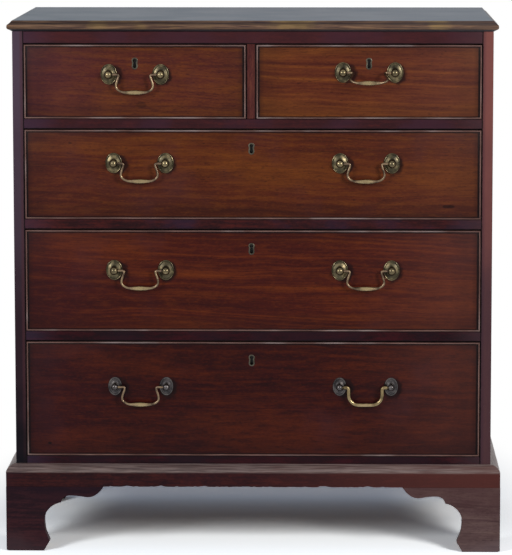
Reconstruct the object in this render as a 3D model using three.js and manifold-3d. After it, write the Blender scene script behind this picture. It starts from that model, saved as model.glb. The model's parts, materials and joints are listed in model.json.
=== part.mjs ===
// A mahogany chest of two short and three long drawers on bracket feet.
// Millimetres, +Z up. While it is modelled, X is 0 on the centre line, Y is 0 at the front edges
// of the carcass and grows towards the back, and Z is 0 on the floor.

import * as THREE from 'three';
import Module from 'manifold-3d';
import { mergeVertices } from 'three/addons/utils/BufferGeometryUtils.js';

const wasm = await Module();
wasm.setup();

// Carcass
const carcassWidth = 915;
const carcassDepth = 490;
const sideThickness = 21;
const backThickness = 12;
const partitionThickness = 18;
const partitionOffset = -3;
const railDepth = 60;
const dustPanelThickness = 9;
const bottomBoardThickness = 20;
const bottomRailThickness = 20;
const backPlankWidth = 110;
const plankGroove = 2;
const glueLine = 0.3;
const cutOverrun = 5;

// Heights of the front, from the floor up
const footHeight = 126;
const plinthHeight = 29;
const slopeHeight = 13.5;
const bottomRailShow = 15;
const lowerOpeningHeight = 224;
const lowerDividerThickness = 19;
const middleOpeningHeight = 197;
const middleDividerThickness = 19.5;
const upperOpeningHeight = 173;
const upperDividerThickness = 19.5;
const shortOpeningHeight = 143;
const topRailThickness = 24;
const topThickness = 20;

// Top moulding and base moulding
const topOverhang = 10;
const plinthProjection = 18.5;
const slopeTopFlat = 2;

// Bracket feet
const bracketLength = 188;
const bracketThickness = 22;
const plainBracketLength = 120;
const footBlockSize = 40;
const footBlockLift = 4;
const footWear = 5;

// Drawers
const drawerSideGap = 1;
const drawerTopGap = 1.5;
const drawerRestGap = 0.3;
const drawerBackGap = 8;
const frontThickness = 20;
const beadWidth = 3.5;
const beadProjection = 2.5;
const beadRound = 0.9;
const beadRebate = 6;
const liningThickness = 11;
const liningTopDrop = 4;
const bottomThickness = 7;
const bottomLift = 8;
const stopLength = 40;
const stopDepth = 25;
const stopHeight = 5;
const stopInset = 90;

// Drawer locks
const longLockOffset = -2.5;
const lockWidth = 60;
const lockHeight = 54;
const lockThickness = 11;
const lockFlangeReach = 9;
const lockFlangeThickness = 2.5;
const keyholeDrop = 36;
const keyholeHeight = 17.6;
const keyholeHeadRadius = 3.3;
const keyholeSlotWidth = 4.6;
const keyholeFlare = 0.8;
const lockPlateThickness = 3;
const boltWidth = 22;
const boltThickness = 6.4;
const boltLength = 20;
const boltTravel = 8;
const boltClearance = 0.5;

// Handles
const handleSpread = 99;
const handleOffset = 216;
const pivotStandoff = 12;
const ballRadius = 8;
const plainBallRadius = 6.5;
const neckRadius = 4;
const stemRadius = 2.5;
const stemClearance = 0.4;
const nutRadius = 6;
const nutThickness = 4;
const stemTail = 2;
const roseWidth = 31;
const roseHeight = 39;
const roseDome = 4.6;
const plainRoseWidth = 26;
const plainRoseHeight = 35.5;
const plainRoseDome = 4;
const pinRadius = 2;
const pinClearance = 0.35;
const pinDepth = 5;
const bailDrop = 34;
const bailNeckRadius = 2.3;
const bailGripRadius = 4.7;
const evenBailRadius = 3.7;
const shoulderLength = 1.5;
const gripReach = 29;

// Heights of the handles' roses above the bottom of each opening
const lowerHandleHeight = 136;
const middleHandleHeight = 118.5;
const upperHandleHeight = 108;
const leftShortHandleHeight = 85;
const rightShortHandleHeight = 89;

// The stiff bail that stands out from its drawer, in degrees from hanging
const raisedBailAngle = 59;

// Fineness of the round work
const roundSides = 10;
const roseSides = 16;
const bailSides = 7;
const bailRings = 24;
const curveSteps = 4;
const ballSteps = 3;

// Moulded edge of the top from its upper corner: outward as shares of the overhang,
// down as shares of the thickness
const topEdgeShares = [
  [0, 0],
  [0.68, 0.32],
  [0.95, 0.42],
  [1, 0.56],
  [0.92, 0.72],
  [0.5, 0.86],
  [0.1, 1],
];

// Sloped top of the base moulding from its upper corner: outward as shares of what is left of
// the projection, down as shares of the slope's height
const slopeShares = [
  [0, 0],
  [0.35, 0.14],
  [0.75, 0.5],
  [1, 1],
];

// Inner edge of a foot bracket from the floor up, as quadratic curves. Each row is a control point
// and an end point: along as shares of the bracket's length, up as shares of the foot's height
const bracketCurveShares = [
  [0.416, 0.08, 0.445, 0.152],
  [0.422, 0.225, 0.404, 0.3],
  [0.391, 0.38, 0.391, 0.47],
  [0.391, 0.56, 0.425, 0.628],
  [0.462, 0.705, 0.53, 0.742],
  [0.548, 0.75, 0.563, 0.753],
  [0.578, 0.855, 0.65, 0.862],
  [0.72, 0.864, 0.8, 0.84],
  [0.86, 0.824, 0.905, 0.856],
  [0.962, 0.905, 1, 1],
];
const toeShare = 0.385;
const plainToeShare = 0.6;

// Half of a bail from the ball's centre: inward as shares of half the spread, down as shares of
// the drop. The swan neck swings in under its shoulder, and the plain neck hangs straight
const swanNeckShares = [
  [0.12, 0],
  [0.2, 0],
  [0.34, 0],
  [0.385, 0.05],
  [0.375, 0.17],
  [0.335, 0.34],
  [0.303, 0.5],
  [0.29, 0.64],
  [0.315, 0.77],
  [0.4, 0.89],
  [0.54, 0.975],
  [0.76, 1],
  [1, 1],
];
const plainNeckShares = [
  [0.12, 0],
  [0.14, 0],
  [0.18, 0],
  [0.3, 0.01],
  [0.345, 0.09],
  [0.352, 0.25],
  [0.352, 0.45],
  [0.375, 0.62],
  [0.44, 0.79],
  [0.54, 0.92],
  [0.66, 0.985],
  [0.8, 1],
  [1, 1],
];

// Dome of a rose from the wood outwards: radius as shares of the half width, height as shares
// of the dome
const roseShares = [
  [1, 0.08],
  [0.98, 0.34],
  [0.86, 0.42],
  [0.74, 0.4],
  [0.45, 0.9],
];
const steppedRoseShares = [
  [1, 0.08],
  [0.97, 0.4],
  [0.8, 0.42],
  [0.62, 0.34],
  [0.5, 0.85],
];

// Levels that follow from the heights
const halfWidth = carcassWidth / 2;
const halfInside = halfWidth - sideThickness;
const plinthTop = footHeight + plinthHeight;
const slopeTop = plinthTop + slopeHeight;
const lowerOpeningBottom = slopeTop + bottomRailShow;
const lowerDividerBottom = lowerOpeningBottom + lowerOpeningHeight;
const middleOpeningBottom = lowerDividerBottom + lowerDividerThickness;
const middleDividerBottom = middleOpeningBottom + middleOpeningHeight;
const upperOpeningBottom = middleDividerBottom + middleDividerThickness;
const upperDividerBottom = upperOpeningBottom + upperOpeningHeight;
const shortOpeningBottom = upperDividerBottom + upperDividerThickness;
const topRailBottom = shortOpeningBottom + shortOpeningHeight;
const topBoardBottom = topRailBottom + topRailThickness;
const topBoardTop = topBoardBottom + topThickness;
const backInner = carcassDepth - backThickness;
const partitionLeft = partitionOffset - partitionThickness / 2;
const partitionRight = partitionOffset + partitionThickness / 2;
const lockFront = frontThickness - lockThickness;

// Finishes
const finish = (colour, roughness, metalness = 0) =>
  new THREE.MeshStandardMaterial({ color: colour, roughness, metalness });
const topMahogany = finish(0x6a4a40, 0.3);
const carcassMahogany = finish(0x4a2a2a, 0.4);
const frontMahogany = finish(0x6a3420, 0.35);
const footMahogany = finish(0x3a2022, 0.5);
const drawerOak = finish(0x9a7448, 0.7);
const backPine = finish(0x8a6238, 0.8);
const agedBrass = finish(0x8a7a4c, 0.35, 1);
const darkBrass = finish(0x5c5850, 0.4, 1);
const brightBrass = finish(0xa08a52, 0.3, 1);
const lockBrass = finish(0x9a8450, 0.45, 1);
const boltSteel = finish(0x6c6a66, 0.45, 1);

// Closed solids to cut and join, and back
function solid(geometry) {
  const bare = geometry.clone();
  bare.deleteAttribute('normal');
  bare.deleteAttribute('uv');
  const merged = mergeVertices(bare);
  const mesh = new wasm.Mesh({
    numProp: 3,
    vertProperties: new Float32Array(merged.attributes.position.array),
    triVerts: new Uint32Array(merged.index.array),
  });
  return new wasm.Manifold(mesh);
}

function geometryOf(manifold) {
  const mesh = manifold.getMesh();
  const geometry = new THREE.BufferGeometry();
  geometry.setAttribute('position', new THREE.BufferAttribute(mesh.vertProperties, 3));
  geometry.setIndex(new THREE.BufferAttribute(mesh.triVerts, 1));
  geometry.computeVertexNormals();
  return geometry;
}

function joinAll(solids) {
  return solids.reduce((whole, next) => whole.add(next));
}

function cutAll(body, cutters) {
  return cutters.reduce((whole, next) => whole.subtract(next), body);
}

// Shapes as solids: a board between two corners, and outlines pushed along one axis
function board(x0, x1, y0, y1, z0, z1) {
  const geometry = new THREE.BoxGeometry(x1 - x0, y1 - y0, z1 - z0);
  geometry.translate((x0 + x1) / 2, (y0 + y1) / 2, (z0 + z1) / 2);
  return solid(geometry);
}

function outline(points) {
  return new THREE.Shape(points.map(([u, v]) => new THREE.Vector2(u, v)));
}

function pushed(shape, length, round = 0) {
  const geometry = new THREE.ExtrudeGeometry(shape, {
    depth: length - 2 * round,
    bevelEnabled: round > 0,
    bevelThickness: round,
    bevelSize: round,
    bevelOffset: -round,
    bevelSegments: 1,
    curveSegments: curveSteps,
  });
  geometry.translate(0, 0, round);
  return geometry;
}

// An outline in X and Z, from one Y to another
function alongY(shape, y0, y1, round = 0) {
  const geometry = pushed(shape, y1 - y0, round);
  geometry.rotateX(Math.PI / 2);
  geometry.translate(0, y1, 0);
  return solid(geometry);
}

// An outline in Y and Z, from one X to another
function alongX(shape, x0, x1) {
  const geometry = pushed(shape, x1 - x0);
  const turn = new THREE.Matrix4().makeBasis(
    new THREE.Vector3(0, 1, 0),
    new THREE.Vector3(0, 0, 1),
    new THREE.Vector3(1, 0, 0),
  );
  geometry.applyMatrix4(turn);
  geometry.translate(x0, 0, 0);
  return solid(geometry);
}

// An outline in X and Y, from one Z to another
function alongZ(shape, z0, z1) {
  const geometry = pushed(shape, z1 - z0);
  geometry.translate(0, 0, z0);
  return solid(geometry);
}

// A profile of radius and height turned about the Y axis, with its height running forwards (-Y)
function turned(profile, sides, widen = 1, heighten = 1) {
  const points = profile.map(([radius, height]) => new THREE.Vector2(radius, height));
  const geometry = new THREE.LatheGeometry(points, sides);
  geometry.rotateX(Math.PI);
  geometry.scale(widen, 1, heighten);
  return solid(geometry);
}

function roundHole(radius, x, z, y0, y1) {
  const geometry = new THREE.CylinderGeometry(radius, radius, y1 - y0, roundSides);
  geometry.translate(x, (y0 + y1) / 2, z);
  return solid(geometry);
}

const chest = new THREE.Group();

function addPiece(parent, name, body, material) {
  const mesh = new THREE.Mesh(geometryOf(body), material);
  mesh.name = name;
  parent.add(mesh);
  return mesh;
}

// Top board: the moulded edge runs along the front and both ends and is mitred at the corners
function topBoard() {
  const edge = topEdgeShares.map(([out, down]) => [out * topOverhang, topBoardTop - down * topThickness]);
  const front = edge.map(([out, z]) => [-out, z]);
  const lengthwise = alongX(
    outline([[carcassDepth, topBoardTop], ...front, [carcassDepth, topBoardBottom]]),
    -halfWidth - topOverhang,
    halfWidth + topOverhang,
  );
  const right = edge.map(([out, z]) => [halfWidth + out, z]);
  const left = edge.map(([out, z]) => [-halfWidth - out, z]).reverse();
  const crosswise = alongY(outline([...right, ...left]), -topOverhang, carcassDepth);
  return lengthwise.intersect(crosswise);
}

function sideBoard(sign) {
  const outer = sign * halfWidth;
  const inner = sign * halfInside;
  return board(
    Math.min(outer, inner),
    Math.max(outer, inner),
    0,
    carcassDepth,
    footHeight,
    topBoardBottom - glueLine,
  );
}

// Back: planks side by side, marked by a groove at each joint
function backPanel() {
  const right = halfInside - glueLine;
  const joints = [];
  const plankCount = Math.max(2, Math.round((2 * right) / backPlankWidth));
  for (let i = 1; i < plankCount; i += 1) {
    const x = right - (i * 2 * right) / plankCount;
    joints.push([x + plankGroove, carcassDepth]);
    joints.push([x, carcassDepth - plankGroove]);
    joints.push([x - plankGroove, carcassDepth]);
  }
  const plan = outline([
    [right, backInner],
    [right, carcassDepth],
    ...joints,
    [-right, carcassDepth],
    [-right, backInner],
  ]);
  return alongZ(plan, footHeight, topBoardBottom - glueLine);
}

// The hole that a lock's bolt shoots into, in the underside of the rail above
function boltMortise(x, railBottom) {
  const halfMortise = boltWidth / 2 + 2 * boltClearance;
  const centre = lockFront + lockThickness / 2;
  const halfDeep = boltThickness / 2 + 2 * boltClearance;
  return board(
    x - halfMortise,
    x + halfMortise,
    centre - halfDeep,
    centre + halfDeep,
    railBottom - cutOverrun,
    railBottom + boltTravel + boltClearance,
  );
}

// Drawer stops: small blocks glued on top of what a drawer runs on, close behind its front
function drawerStops(level, bays) {
  return bays.flatMap(([x0, x1]) =>
    [x0 + stopInset, x1 - stopInset - stopLength].map((x) =>
      board(
        x,
        x + stopLength,
        frontThickness + glueLine,
        frontThickness + glueLine + stopDepth,
        level - stopHeight,
        level + stopHeight,
      ),
    ),
  );
}

// A rail with its runners, one board deep, and the thinner dust panels between the runners.
// pocketBays are the panels below, stopBays the openings above, and mortises the bolts' places
function dividerBoard(bottom, thickness, pocketBays, stopBays, mortises) {
  const right = halfInside - glueLine;
  const bare = board(-right, right, 0, backInner - glueLine, bottom, bottom + thickness);
  const body = joinAll([bare, ...drawerStops(bottom + thickness, stopBays)]);
  const pockets = pocketBays.map(([x0, x1]) =>
    board(
      x0 + railDepth,
      x1 - railDepth,
      railDepth,
      backInner - railDepth,
      bottom - cutOverrun,
      bottom + thickness - dustPanelThickness,
    ),
  );
  return cutAll(body, [...pockets, ...mortises.map((x) => boltMortise(x, bottom))]);
}

function centrePartition() {
  return board(
    partitionLeft,
    partitionRight,
    0,
    backInner - glueLine,
    shortOpeningBottom + glueLine,
    topRailBottom - glueLine,
  );
}

function bottomBoard() {
  const right = halfInside - glueLine;
  const bare = board(
    -right,
    right,
    bottomRailThickness + glueLine,
    backInner - glueLine,
    lowerOpeningBottom - bottomBoardThickness,
    lowerOpeningBottom,
  );
  return joinAll([bare, ...drawerStops(lowerOpeningBottom, [[-halfInside, halfInside]])]);
}

function bottomRail() {
  const right = halfInside - glueLine;
  return board(-right, right, 0, bottomRailThickness, footHeight, lowerOpeningBottom);
}

// Base moulding: a flat strip with a sloped top, mitred round the front and both sides
function baseMoulding() {
  const run = plinthProjection - slopeTopFlat;
  const slope = slopeShares.map(([out, down]) => [slopeTopFlat + out * run, slopeTop - down * slopeHeight]);
  const front = slope.map(([out, z]) => [-out, z]);
  const lengthwise = alongX(
    outline([
      [carcassDepth, slopeTop],
      ...front,
      [-plinthProjection, footHeight],
      [carcassDepth, footHeight],
    ]),
    -halfWidth - plinthProjection,
    halfWidth + plinthProjection,
  );
  const right = slope.map(([out, z]) => [halfWidth + out, z]);
  const left = slope.map(([out, z]) => [-halfWidth - out, z]).reverse();
  const ends = [[halfWidth + plinthProjection, footHeight], [-halfWidth - plinthProjection, footHeight]];
  const crosswise = alongY(outline([...right, ...ends, ...left]), -plinthProjection, carcassDepth);
  const carcassSpace = board(
    -halfWidth - glueLine,
    halfWidth + glueLine,
    -glueLine,
    carcassDepth + cutOverrun,
    footHeight - cutOverrun,
    slopeTop + cutOverrun,
  );
  return lengthwise.intersect(crosswise).subtract(carcassSpace);
}

// A shaped bracket's outline, standing at an outer corner and reaching inwards
function bracketOutline(corner, inward) {
  const top = footHeight - glueLine;
  const shape = new THREE.Shape();
  shape.moveTo(corner, footWear);
  shape.lineTo(corner + inward * footWear, 0);
  shape.lineTo(corner + inward * toeShare * bracketLength, 0);
  for (const [controlAlong, controlUp, along, up] of bracketCurveShares) {
    shape.quadraticCurveTo(
      corner + inward * controlAlong * bracketLength,
      controlUp * top,
      corner + inward * along * bracketLength,
      up * top,
    );
  }
  shape.lineTo(corner, top);
  return shape;
}

function plainBracketOutline(corner, inward) {
  const top = footHeight - glueLine;
  return outline([
    [corner, 0],
    [corner + inward * plainToeShare * plainBracketLength, 0],
    [corner + inward * plainBracketLength, top],
    [corner, top],
  ]);
}

// A foot: two brackets that meet at the corner, and the block glued behind them
function foot(side, atFront) {
  const cornerX = side * (halfWidth + plinthProjection);
  const innerX = cornerX - side * bracketThickness;
  const blockX = innerX - side * footBlockSize;
  const top = footHeight - glueLine;
  const faceY = atFront
    ? [-plinthProjection, bracketThickness - plinthProjection]
    : [carcassDepth - bracketThickness, carcassDepth];
  const faceShape = atFront ? bracketOutline(cornerX, -side) : plainBracketOutline(cornerX, -side);
  const face = alongY(faceShape, faceY[0], faceY[1]);
  const sideCorner = atFront ? -plinthProjection : carcassDepth;
  const sideBracket = alongX(
    bracketOutline(sideCorner, atFront ? 1 : -1),
    Math.min(cornerX, innerX),
    Math.max(cornerX, innerX),
  );
  const blockY = atFront ? [faceY[1], faceY[1] + footBlockSize] : [faceY[0] - footBlockSize, faceY[0]];
  const block = board(
    Math.min(innerX, blockX),
    Math.max(innerX, blockX),
    blockY[0],
    blockY[1],
    footBlockLift,
    top,
  );
  return joinAll([face, sideBracket, block]);
}

// A keyhole: a round head over a slot that flares a little, about its own centre
function keyholeOutline(x, z) {
  const top = z + keyholeHeight / 2;
  const headZ = top - keyholeHeadRadius;
  const waist = Math.acos(keyholeSlotWidth / 2 / keyholeHeadRadius);
  const endRadius = keyholeSlotWidth / 2 + keyholeFlare;
  const endZ = z - keyholeHeight / 2 + endRadius;
  const shape = new THREE.Shape();
  shape.absarc(x, headZ, keyholeHeadRadius, -waist, Math.PI + waist, false);
  shape.absarc(x, endZ, endRadius, Math.PI, 2 * Math.PI, false);
  return shape;
}

// Drawer front: a board with a cockbead round its edge, the keyhole, the holes for the handles'
// stems and the seat of the lock behind
function drawerFront(drawer) {
  const halfFront = drawer.width / 2 - drawerSideGap;
  const top = drawer.height - drawerTopGap;
  const blank = board(-halfFront, halfFront, 0, frontThickness, drawerRestGap, top);
  const ring = outline([
    [-halfFront, drawerRestGap],
    [halfFront, drawerRestGap],
    [halfFront, top],
    [-halfFront, top],
  ]);
  ring.holes.push(
    outline([
      [-halfFront + beadWidth, drawerRestGap + beadWidth],
      [-halfFront + beadWidth, top - beadWidth],
      [halfFront - beadWidth, top - beadWidth],
      [halfFront - beadWidth, drawerRestGap + beadWidth],
    ]),
  );
  const bead = alongY(ring, -beadProjection, beadRebate, beadRound);
  const keyhole = alongY(
    keyholeOutline(drawer.lockX, top - keyholeDrop),
    -cutOverrun,
    lockFront + cutOverrun,
  );
  const lockSeat = board(
    drawer.lockX - lockWidth / 2 - glueLine,
    drawer.lockX + lockWidth / 2 + glueLine,
    lockFront - glueLine,
    frontThickness + cutOverrun,
    top - lockHeight - glueLine,
    top + cutOverrun,
  );
  const flangeSeat = board(
    drawer.lockX - lockWidth / 2 - lockFlangeReach - glueLine,
    drawer.lockX + lockWidth / 2 + lockFlangeReach + glueLine,
    lockFront - glueLine,
    frontThickness + cutOverrun,
    top - lockFlangeThickness - glueLine,
    top + cutOverrun,
  );
  const stemHoles = drawer.handles.flatMap((handle) =>
    [-1, 1].map((end) =>
      roundHole(
        stemRadius + stemClearance,
        handle.x + (end * handleSpread) / 2,
        drawer.handleHeight,
        -cutOverrun,
        frontThickness + cutOverrun,
      ),
    ),
  );
  return cutAll(blank.add(bead), [keyhole, lockSeat, flangeSeat, ...stemHoles]);
}

// Drawer box: two sides, a back and a bottom held in their grooves
function drawerBox(drawer) {
  const half = drawer.width / 2 - drawerSideGap;
  const front = frontThickness + glueLine;
  const back = backInner - drawerBackGap;
  const top = drawer.height - liningTopDrop;
  const left = board(-half, -half + liningThickness, front, back, drawerRestGap, top);
  const right = board(half - liningThickness, half, front, back, drawerRestGap, top);
  const rear = board(-half, half, back - liningThickness, back, bottomLift, top);
  const bottom = board(-half, half, front, back, bottomLift, bottomLift + bottomThickness);
  return joinAll([left, right, rear, bottom]);
}

// Lock: a case let into the back of the front, with its flange along the top edge
function lockCase(drawer) {
  const top = drawer.height - drawerTopGap;
  const x = drawer.lockX;
  const body = board(x - lockWidth / 2, x + lockWidth / 2, lockFront, frontThickness, top - lockHeight, top);
  const flange = board(
    x - lockWidth / 2 - lockFlangeReach,
    x + lockWidth / 2 + lockFlangeReach,
    lockFront,
    frontThickness,
    top - lockFlangeThickness,
    top,
  );
  const keyway = alongY(
    keyholeOutline(x, top - keyholeDrop),
    lockFront - cutOverrun,
    frontThickness - lockPlateThickness,
  );
  const centre = lockFront + lockThickness / 2;
  const boltSlot = board(
    x - boltWidth / 2 - boltClearance,
    x + boltWidth / 2 + boltClearance,
    centre - boltThickness / 2 - boltClearance,
    centre + boltThickness / 2 + boltClearance,
    top - boltLength - 2 * boltClearance,
    top + cutOverrun,
  );
  return cutAll(body.add(flange), [keyway, boltSlot]);
}

// Bolt, drawn back into the lock
function lockBolt(drawer) {
  const top = drawer.height - drawerTopGap - boltClearance;
  const centre = lockFront + lockThickness / 2;
  return board(
    drawer.lockX - boltWidth / 2,
    drawer.lockX + boltWidth / 2,
    centre - boltThickness / 2,
    centre + boltThickness / 2,
    top - boltLength,
    top,
  );
}

// Handle post: nut, stem, oval rose, neck and ball in one line, with the hole for the bail's pin.
// inward is the side that the bail lies on
function handlePost(style, inward) {
  const nutFront = -frontThickness - glueLine;
  const nutBack = nutFront - nutThickness;
  const tail = nutBack - stemTail;
  const ball = [];
  const neckAngle = Math.acos(neckRadius / style.ballRadius);
  for (let i = 0; i <= ballSteps; i += 1) {
    const angle = -neckAngle + ((Math.PI / 2 + neckAngle) * i) / ballSteps;
    const radius = i === ballSteps ? 0 : style.ballRadius * Math.cos(angle);
    ball.push([radius, pivotStandoff + style.ballRadius * Math.sin(angle)]);
  }
  const post = turned(
    [
      [0, tail],
      [stemRadius, tail],
      [stemRadius, nutBack],
      [nutRadius, nutBack],
      [nutRadius, nutFront],
      [stemRadius, nutFront],
      [stemRadius, glueLine],
      [neckRadius, glueLine],
      ...ball,
    ],
    roundSides,
  );
  const rose = turned(
    [
      [0, glueLine],
      [style.roseWidth / 2, glueLine],
      ...style.roseShares.map(([r, h]) => [(r * style.roseWidth) / 2, glueLine + h * style.roseDome]),
      [0, glueLine + style.roseDome],
    ],
    roseSides,
    1,
    style.roseHeight / style.roseWidth,
  );
  const reach = style.ballRadius + cutOverrun;
  const holeRadius = pinRadius + pinClearance;
  const pinHole = new THREE.CylinderGeometry(holeRadius, holeRadius, reach, roundSides);
  pinHole.rotateZ(Math.PI / 2);
  const bottomOfHole = style.ballRadius - pinDepth - glueLine;
  pinHole.translate(inward * (bottomOfHole + reach / 2), -pivotStandoff, 0);
  return post.add(rose).subtract(solid(pinHole));
}

// Bail: a bar swept along the line of its neck and grip. It lies in X and Z with its pins on the
// X axis
function bail(style) {
  const half = handleSpread / 2;
  const tip = [-half + style.ballRadius - pinDepth, 0];
  const left = style.neckShares.map(([along, down]) => [-half + along * half, -down * bailDrop]);
  left[0] = tip;
  const middle = left.pop();
  const right = left.map(([x, z]) => [-x, z]).reverse();
  const path = new THREE.CatmullRomCurve3(
    [...left, middle, ...right].map(([x, z]) => new THREE.Vector3(x, 0, z)),
    false,
    'centripetal',
  );
  const positions = [];
  const ringCount = bailRings + 1;
  for (let i = 0; i < ringCount; i += 1) {
    const t = i / bailRings;
    const centre = path.getPoint(t);
    const along = path.getTangent(t);
    const across = new THREE.Vector3(-along.z, 0, along.x);
    const radius = style.barRadius(centre, style.ballRadius);
    for (let j = 0; j < bailSides; j += 1) {
      const angle = (2 * Math.PI * j) / bailSides;
      positions.push(
        centre.x + radius * Math.cos(angle) * across.x,
        radius * Math.sin(angle),
        centre.z + radius * Math.cos(angle) * across.z,
      );
    }
  }
  const first = path.getPoint(0);
  const last = path.getPoint(1);
  positions.push(first.x, first.y, first.z, last.x, last.y, last.z);
  const firstCap = ringCount * bailSides;
  const faces = [];
  for (let i = 0; i < bailRings; i += 1) {
    for (let j = 0; j < bailSides; j += 1) {
      const a = i * bailSides + j;
      const b = i * bailSides + ((j + 1) % bailSides);
      const c = a + bailSides;
      const d = b + bailSides;
      faces.push(a, c, b, b, c, d);
    }
  }
  for (let j = 0; j < bailSides; j += 1) {
    const next = (j + 1) % bailSides;
    faces.push(firstCap, j, next);
    faces.push(firstCap + 1, firstCap - bailSides + next, firstCap - bailSides + j);
  }
  const geometry = new THREE.BufferGeometry();
  geometry.setAttribute('position', new THREE.Float32BufferAttribute(positions, 3));
  geometry.setIndex(faces);
  return solid(geometry);
}

// Thickness of a bail: the pins fit their holes, the bar thickens at a shoulder outside the ball,
// the necks are slim, and the grip swells
function neckThickness(centre, ball, thickness) {
  const shoulder = handleSpread / 2 - Math.abs(centre.x) - ball - pinClearance;
  const share = Math.max(0, Math.min(1, shoulder / shoulderLength));
  return pinRadius + share * (thickness - pinRadius);
}

function swellingBar(centre, ball) {
  const fromMiddle = Math.min(1, Math.abs(centre.x) / gripReach);
  const neck = neckThickness(centre, ball, bailNeckRadius);
  const swell = (1 + Math.cos(Math.PI * fromMiddle)) / 2;
  const low = Math.max(0, -centre.z / bailDrop - 1 / 2) * 2;
  return neck + swell * Math.min(1, low) * (bailGripRadius - neck);
}

function evenBar(centre, ball) {
  return neckThickness(centre, ball, evenBailRadius);
}

const ovalHandle = {
  roseWidth,
  roseHeight,
  roseDome,
  roseShares,
  ballRadius,
  neckShares: swanNeckShares,
  barRadius: swellingBar,
  postFinish: agedBrass,
  bailFinish: agedBrass,
};
const steppedHandle = {
  roseWidth: plainRoseWidth,
  roseHeight: plainRoseHeight,
  roseDome: plainRoseDome,
  roseShares: steppedRoseShares,
  ballRadius: plainBallRadius,
  neckShares: swanNeckShares,
  barRadius: swellingBar,
  postFinish: darkBrass,
  bailFinish: agedBrass,
};
const replacedHandle = {
  ...steppedHandle,
  neckShares: plainNeckShares,
  barRadius: evenBar,
  bailFinish: brightBrass,
};

// The five drawers. Each stands in its opening, and its own zero is the middle of the opening's
// bottom edge at the carcass front
const leftBayCentre = (partitionLeft - halfInside) / 2;
const rightBayCentre = (partitionRight + halfInside) / 2;
const longHandles = [
  { name: 'left_handle', x: -handleOffset, style: ovalHandle, raised: 0 },
  { name: 'right_handle', x: handleOffset, style: ovalHandle, raised: 0 },
];
const drawers = [
  {
    name: 'lower_drawer',
    x: 0,
    bottom: lowerOpeningBottom,
    width: 2 * halfInside,
    height: lowerOpeningHeight,
    handleHeight: lowerHandleHeight,
    lockX: longLockOffset,
    handles: [
      { name: 'left_handle', x: -handleOffset, style: steppedHandle, raised: 0 },
      { name: 'right_handle', x: handleOffset, style: replacedHandle, raised: 0 },
    ],
  },
  {
    name: 'middle_drawer',
    x: 0,
    bottom: middleOpeningBottom,
    width: 2 * halfInside,
    height: middleOpeningHeight,
    handleHeight: middleHandleHeight,
    lockX: longLockOffset,
    handles: longHandles,
  },
  {
    name: 'upper_drawer',
    x: 0,
    bottom: upperOpeningBottom,
    width: 2 * halfInside,
    height: upperOpeningHeight,
    handleHeight: upperHandleHeight,
    lockX: longLockOffset,
    handles: longHandles,
  },
  {
    name: 'left_short_drawer',
    x: leftBayCentre,
    bottom: shortOpeningBottom,
    width: partitionLeft + halfInside,
    height: shortOpeningHeight,
    handleHeight: leftShortHandleHeight,
    lockX: 0,
    handles: [{ name: 'handle', x: 0, style: ovalHandle, raised: 0 }],
  },
  {
    name: 'right_short_drawer',
    x: rightBayCentre,
    bottom: shortOpeningBottom,
    width: halfInside - partitionRight,
    height: shortOpeningHeight,
    handleHeight: rightShortHandleHeight,
    lockX: 0,
    handles: [{ name: 'handle', x: 0, style: ovalHandle, raised: raisedBailAngle }],
  },
];

// Carcass
const fullBay = [[-halfInside, halfInside]];
const shortBays = [
  [-halfInside, partitionLeft],
  [partitionRight, halfInside],
];
addPiece(chest, 'top_board', topBoard(), topMahogany);
addPiece(chest, 'left_side', sideBoard(-1), carcassMahogany);
addPiece(chest, 'right_side', sideBoard(1), carcassMahogany);
addPiece(chest, 'back_panel', backPanel(), backPine);
addPiece(
  chest,
  'top_rail',
  dividerBoard(topRailBottom, topRailThickness - glueLine, shortBays, [], [leftBayCentre, rightBayCentre]),
  carcassMahogany,
);
addPiece(
  chest,
  'upper_divider',
  dividerBoard(upperDividerBottom, upperDividerThickness, shortBays, shortBays, [longLockOffset]),
  carcassMahogany,
);
addPiece(
  chest,
  'middle_divider',
  dividerBoard(middleDividerBottom, middleDividerThickness, fullBay, fullBay, [longLockOffset]),
  carcassMahogany,
);
addPiece(
  chest,
  'lower_divider',
  dividerBoard(lowerDividerBottom, lowerDividerThickness, fullBay, fullBay, [longLockOffset]),
  carcassMahogany,
);
addPiece(chest, 'centre_partition', centrePartition(), carcassMahogany);
addPiece(chest, 'bottom_board', bottomBoard(), backPine);
addPiece(chest, 'bottom_rail', bottomRail(), carcassMahogany);
addPiece(chest, 'base_moulding', baseMoulding(), carcassMahogany);
addPiece(chest, 'foot_front_left', foot(-1, true), footMahogany);
addPiece(chest, 'foot_front_right', foot(1, true), footMahogany);
addPiece(chest, 'foot_back_left', foot(-1, false), footMahogany);
addPiece(chest, 'foot_back_right', foot(1, false), footMahogany);

// Drawers with their locks and handles
for (const drawer of drawers) {
  const place = new THREE.Group();
  place.position.set(drawer.x, 0, drawer.bottom);
  chest.add(place);
  addPiece(place, `${drawer.name}_front`, drawerFront(drawer), frontMahogany);
  addPiece(place, `${drawer.name}_box`, drawerBox(drawer), drawerOak);
  addPiece(place, `${drawer.name}_lock`, lockCase(drawer), lockBrass);
  addPiece(place, `${drawer.name}_bolt`, lockBolt(drawer), boltSteel);
  for (const handle of drawer.handles) {
    const style = handle.style;
    const hung = new THREE.Group();
    hung.position.set(handle.x, 0, drawer.handleHeight);
    place.add(hung);
    const name = `${drawer.name}_${handle.name}`;
    for (const [end, word] of [[-1, 'left'], [1, 'right']]) {
      const post = addPiece(hung, `${name}_${word}_post`, handlePost(style, -end), style.postFinish);
      post.position.x = (end * handleSpread) / 2;
    }
    const bar = addPiece(hung, `${name}_bail`, bail(style), style.bailFinish);
    bar.position.y = -pivotStandoff;
    bar.rotation.x = -THREE.MathUtils.degToRad(handle.raised);
  }
}

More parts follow.
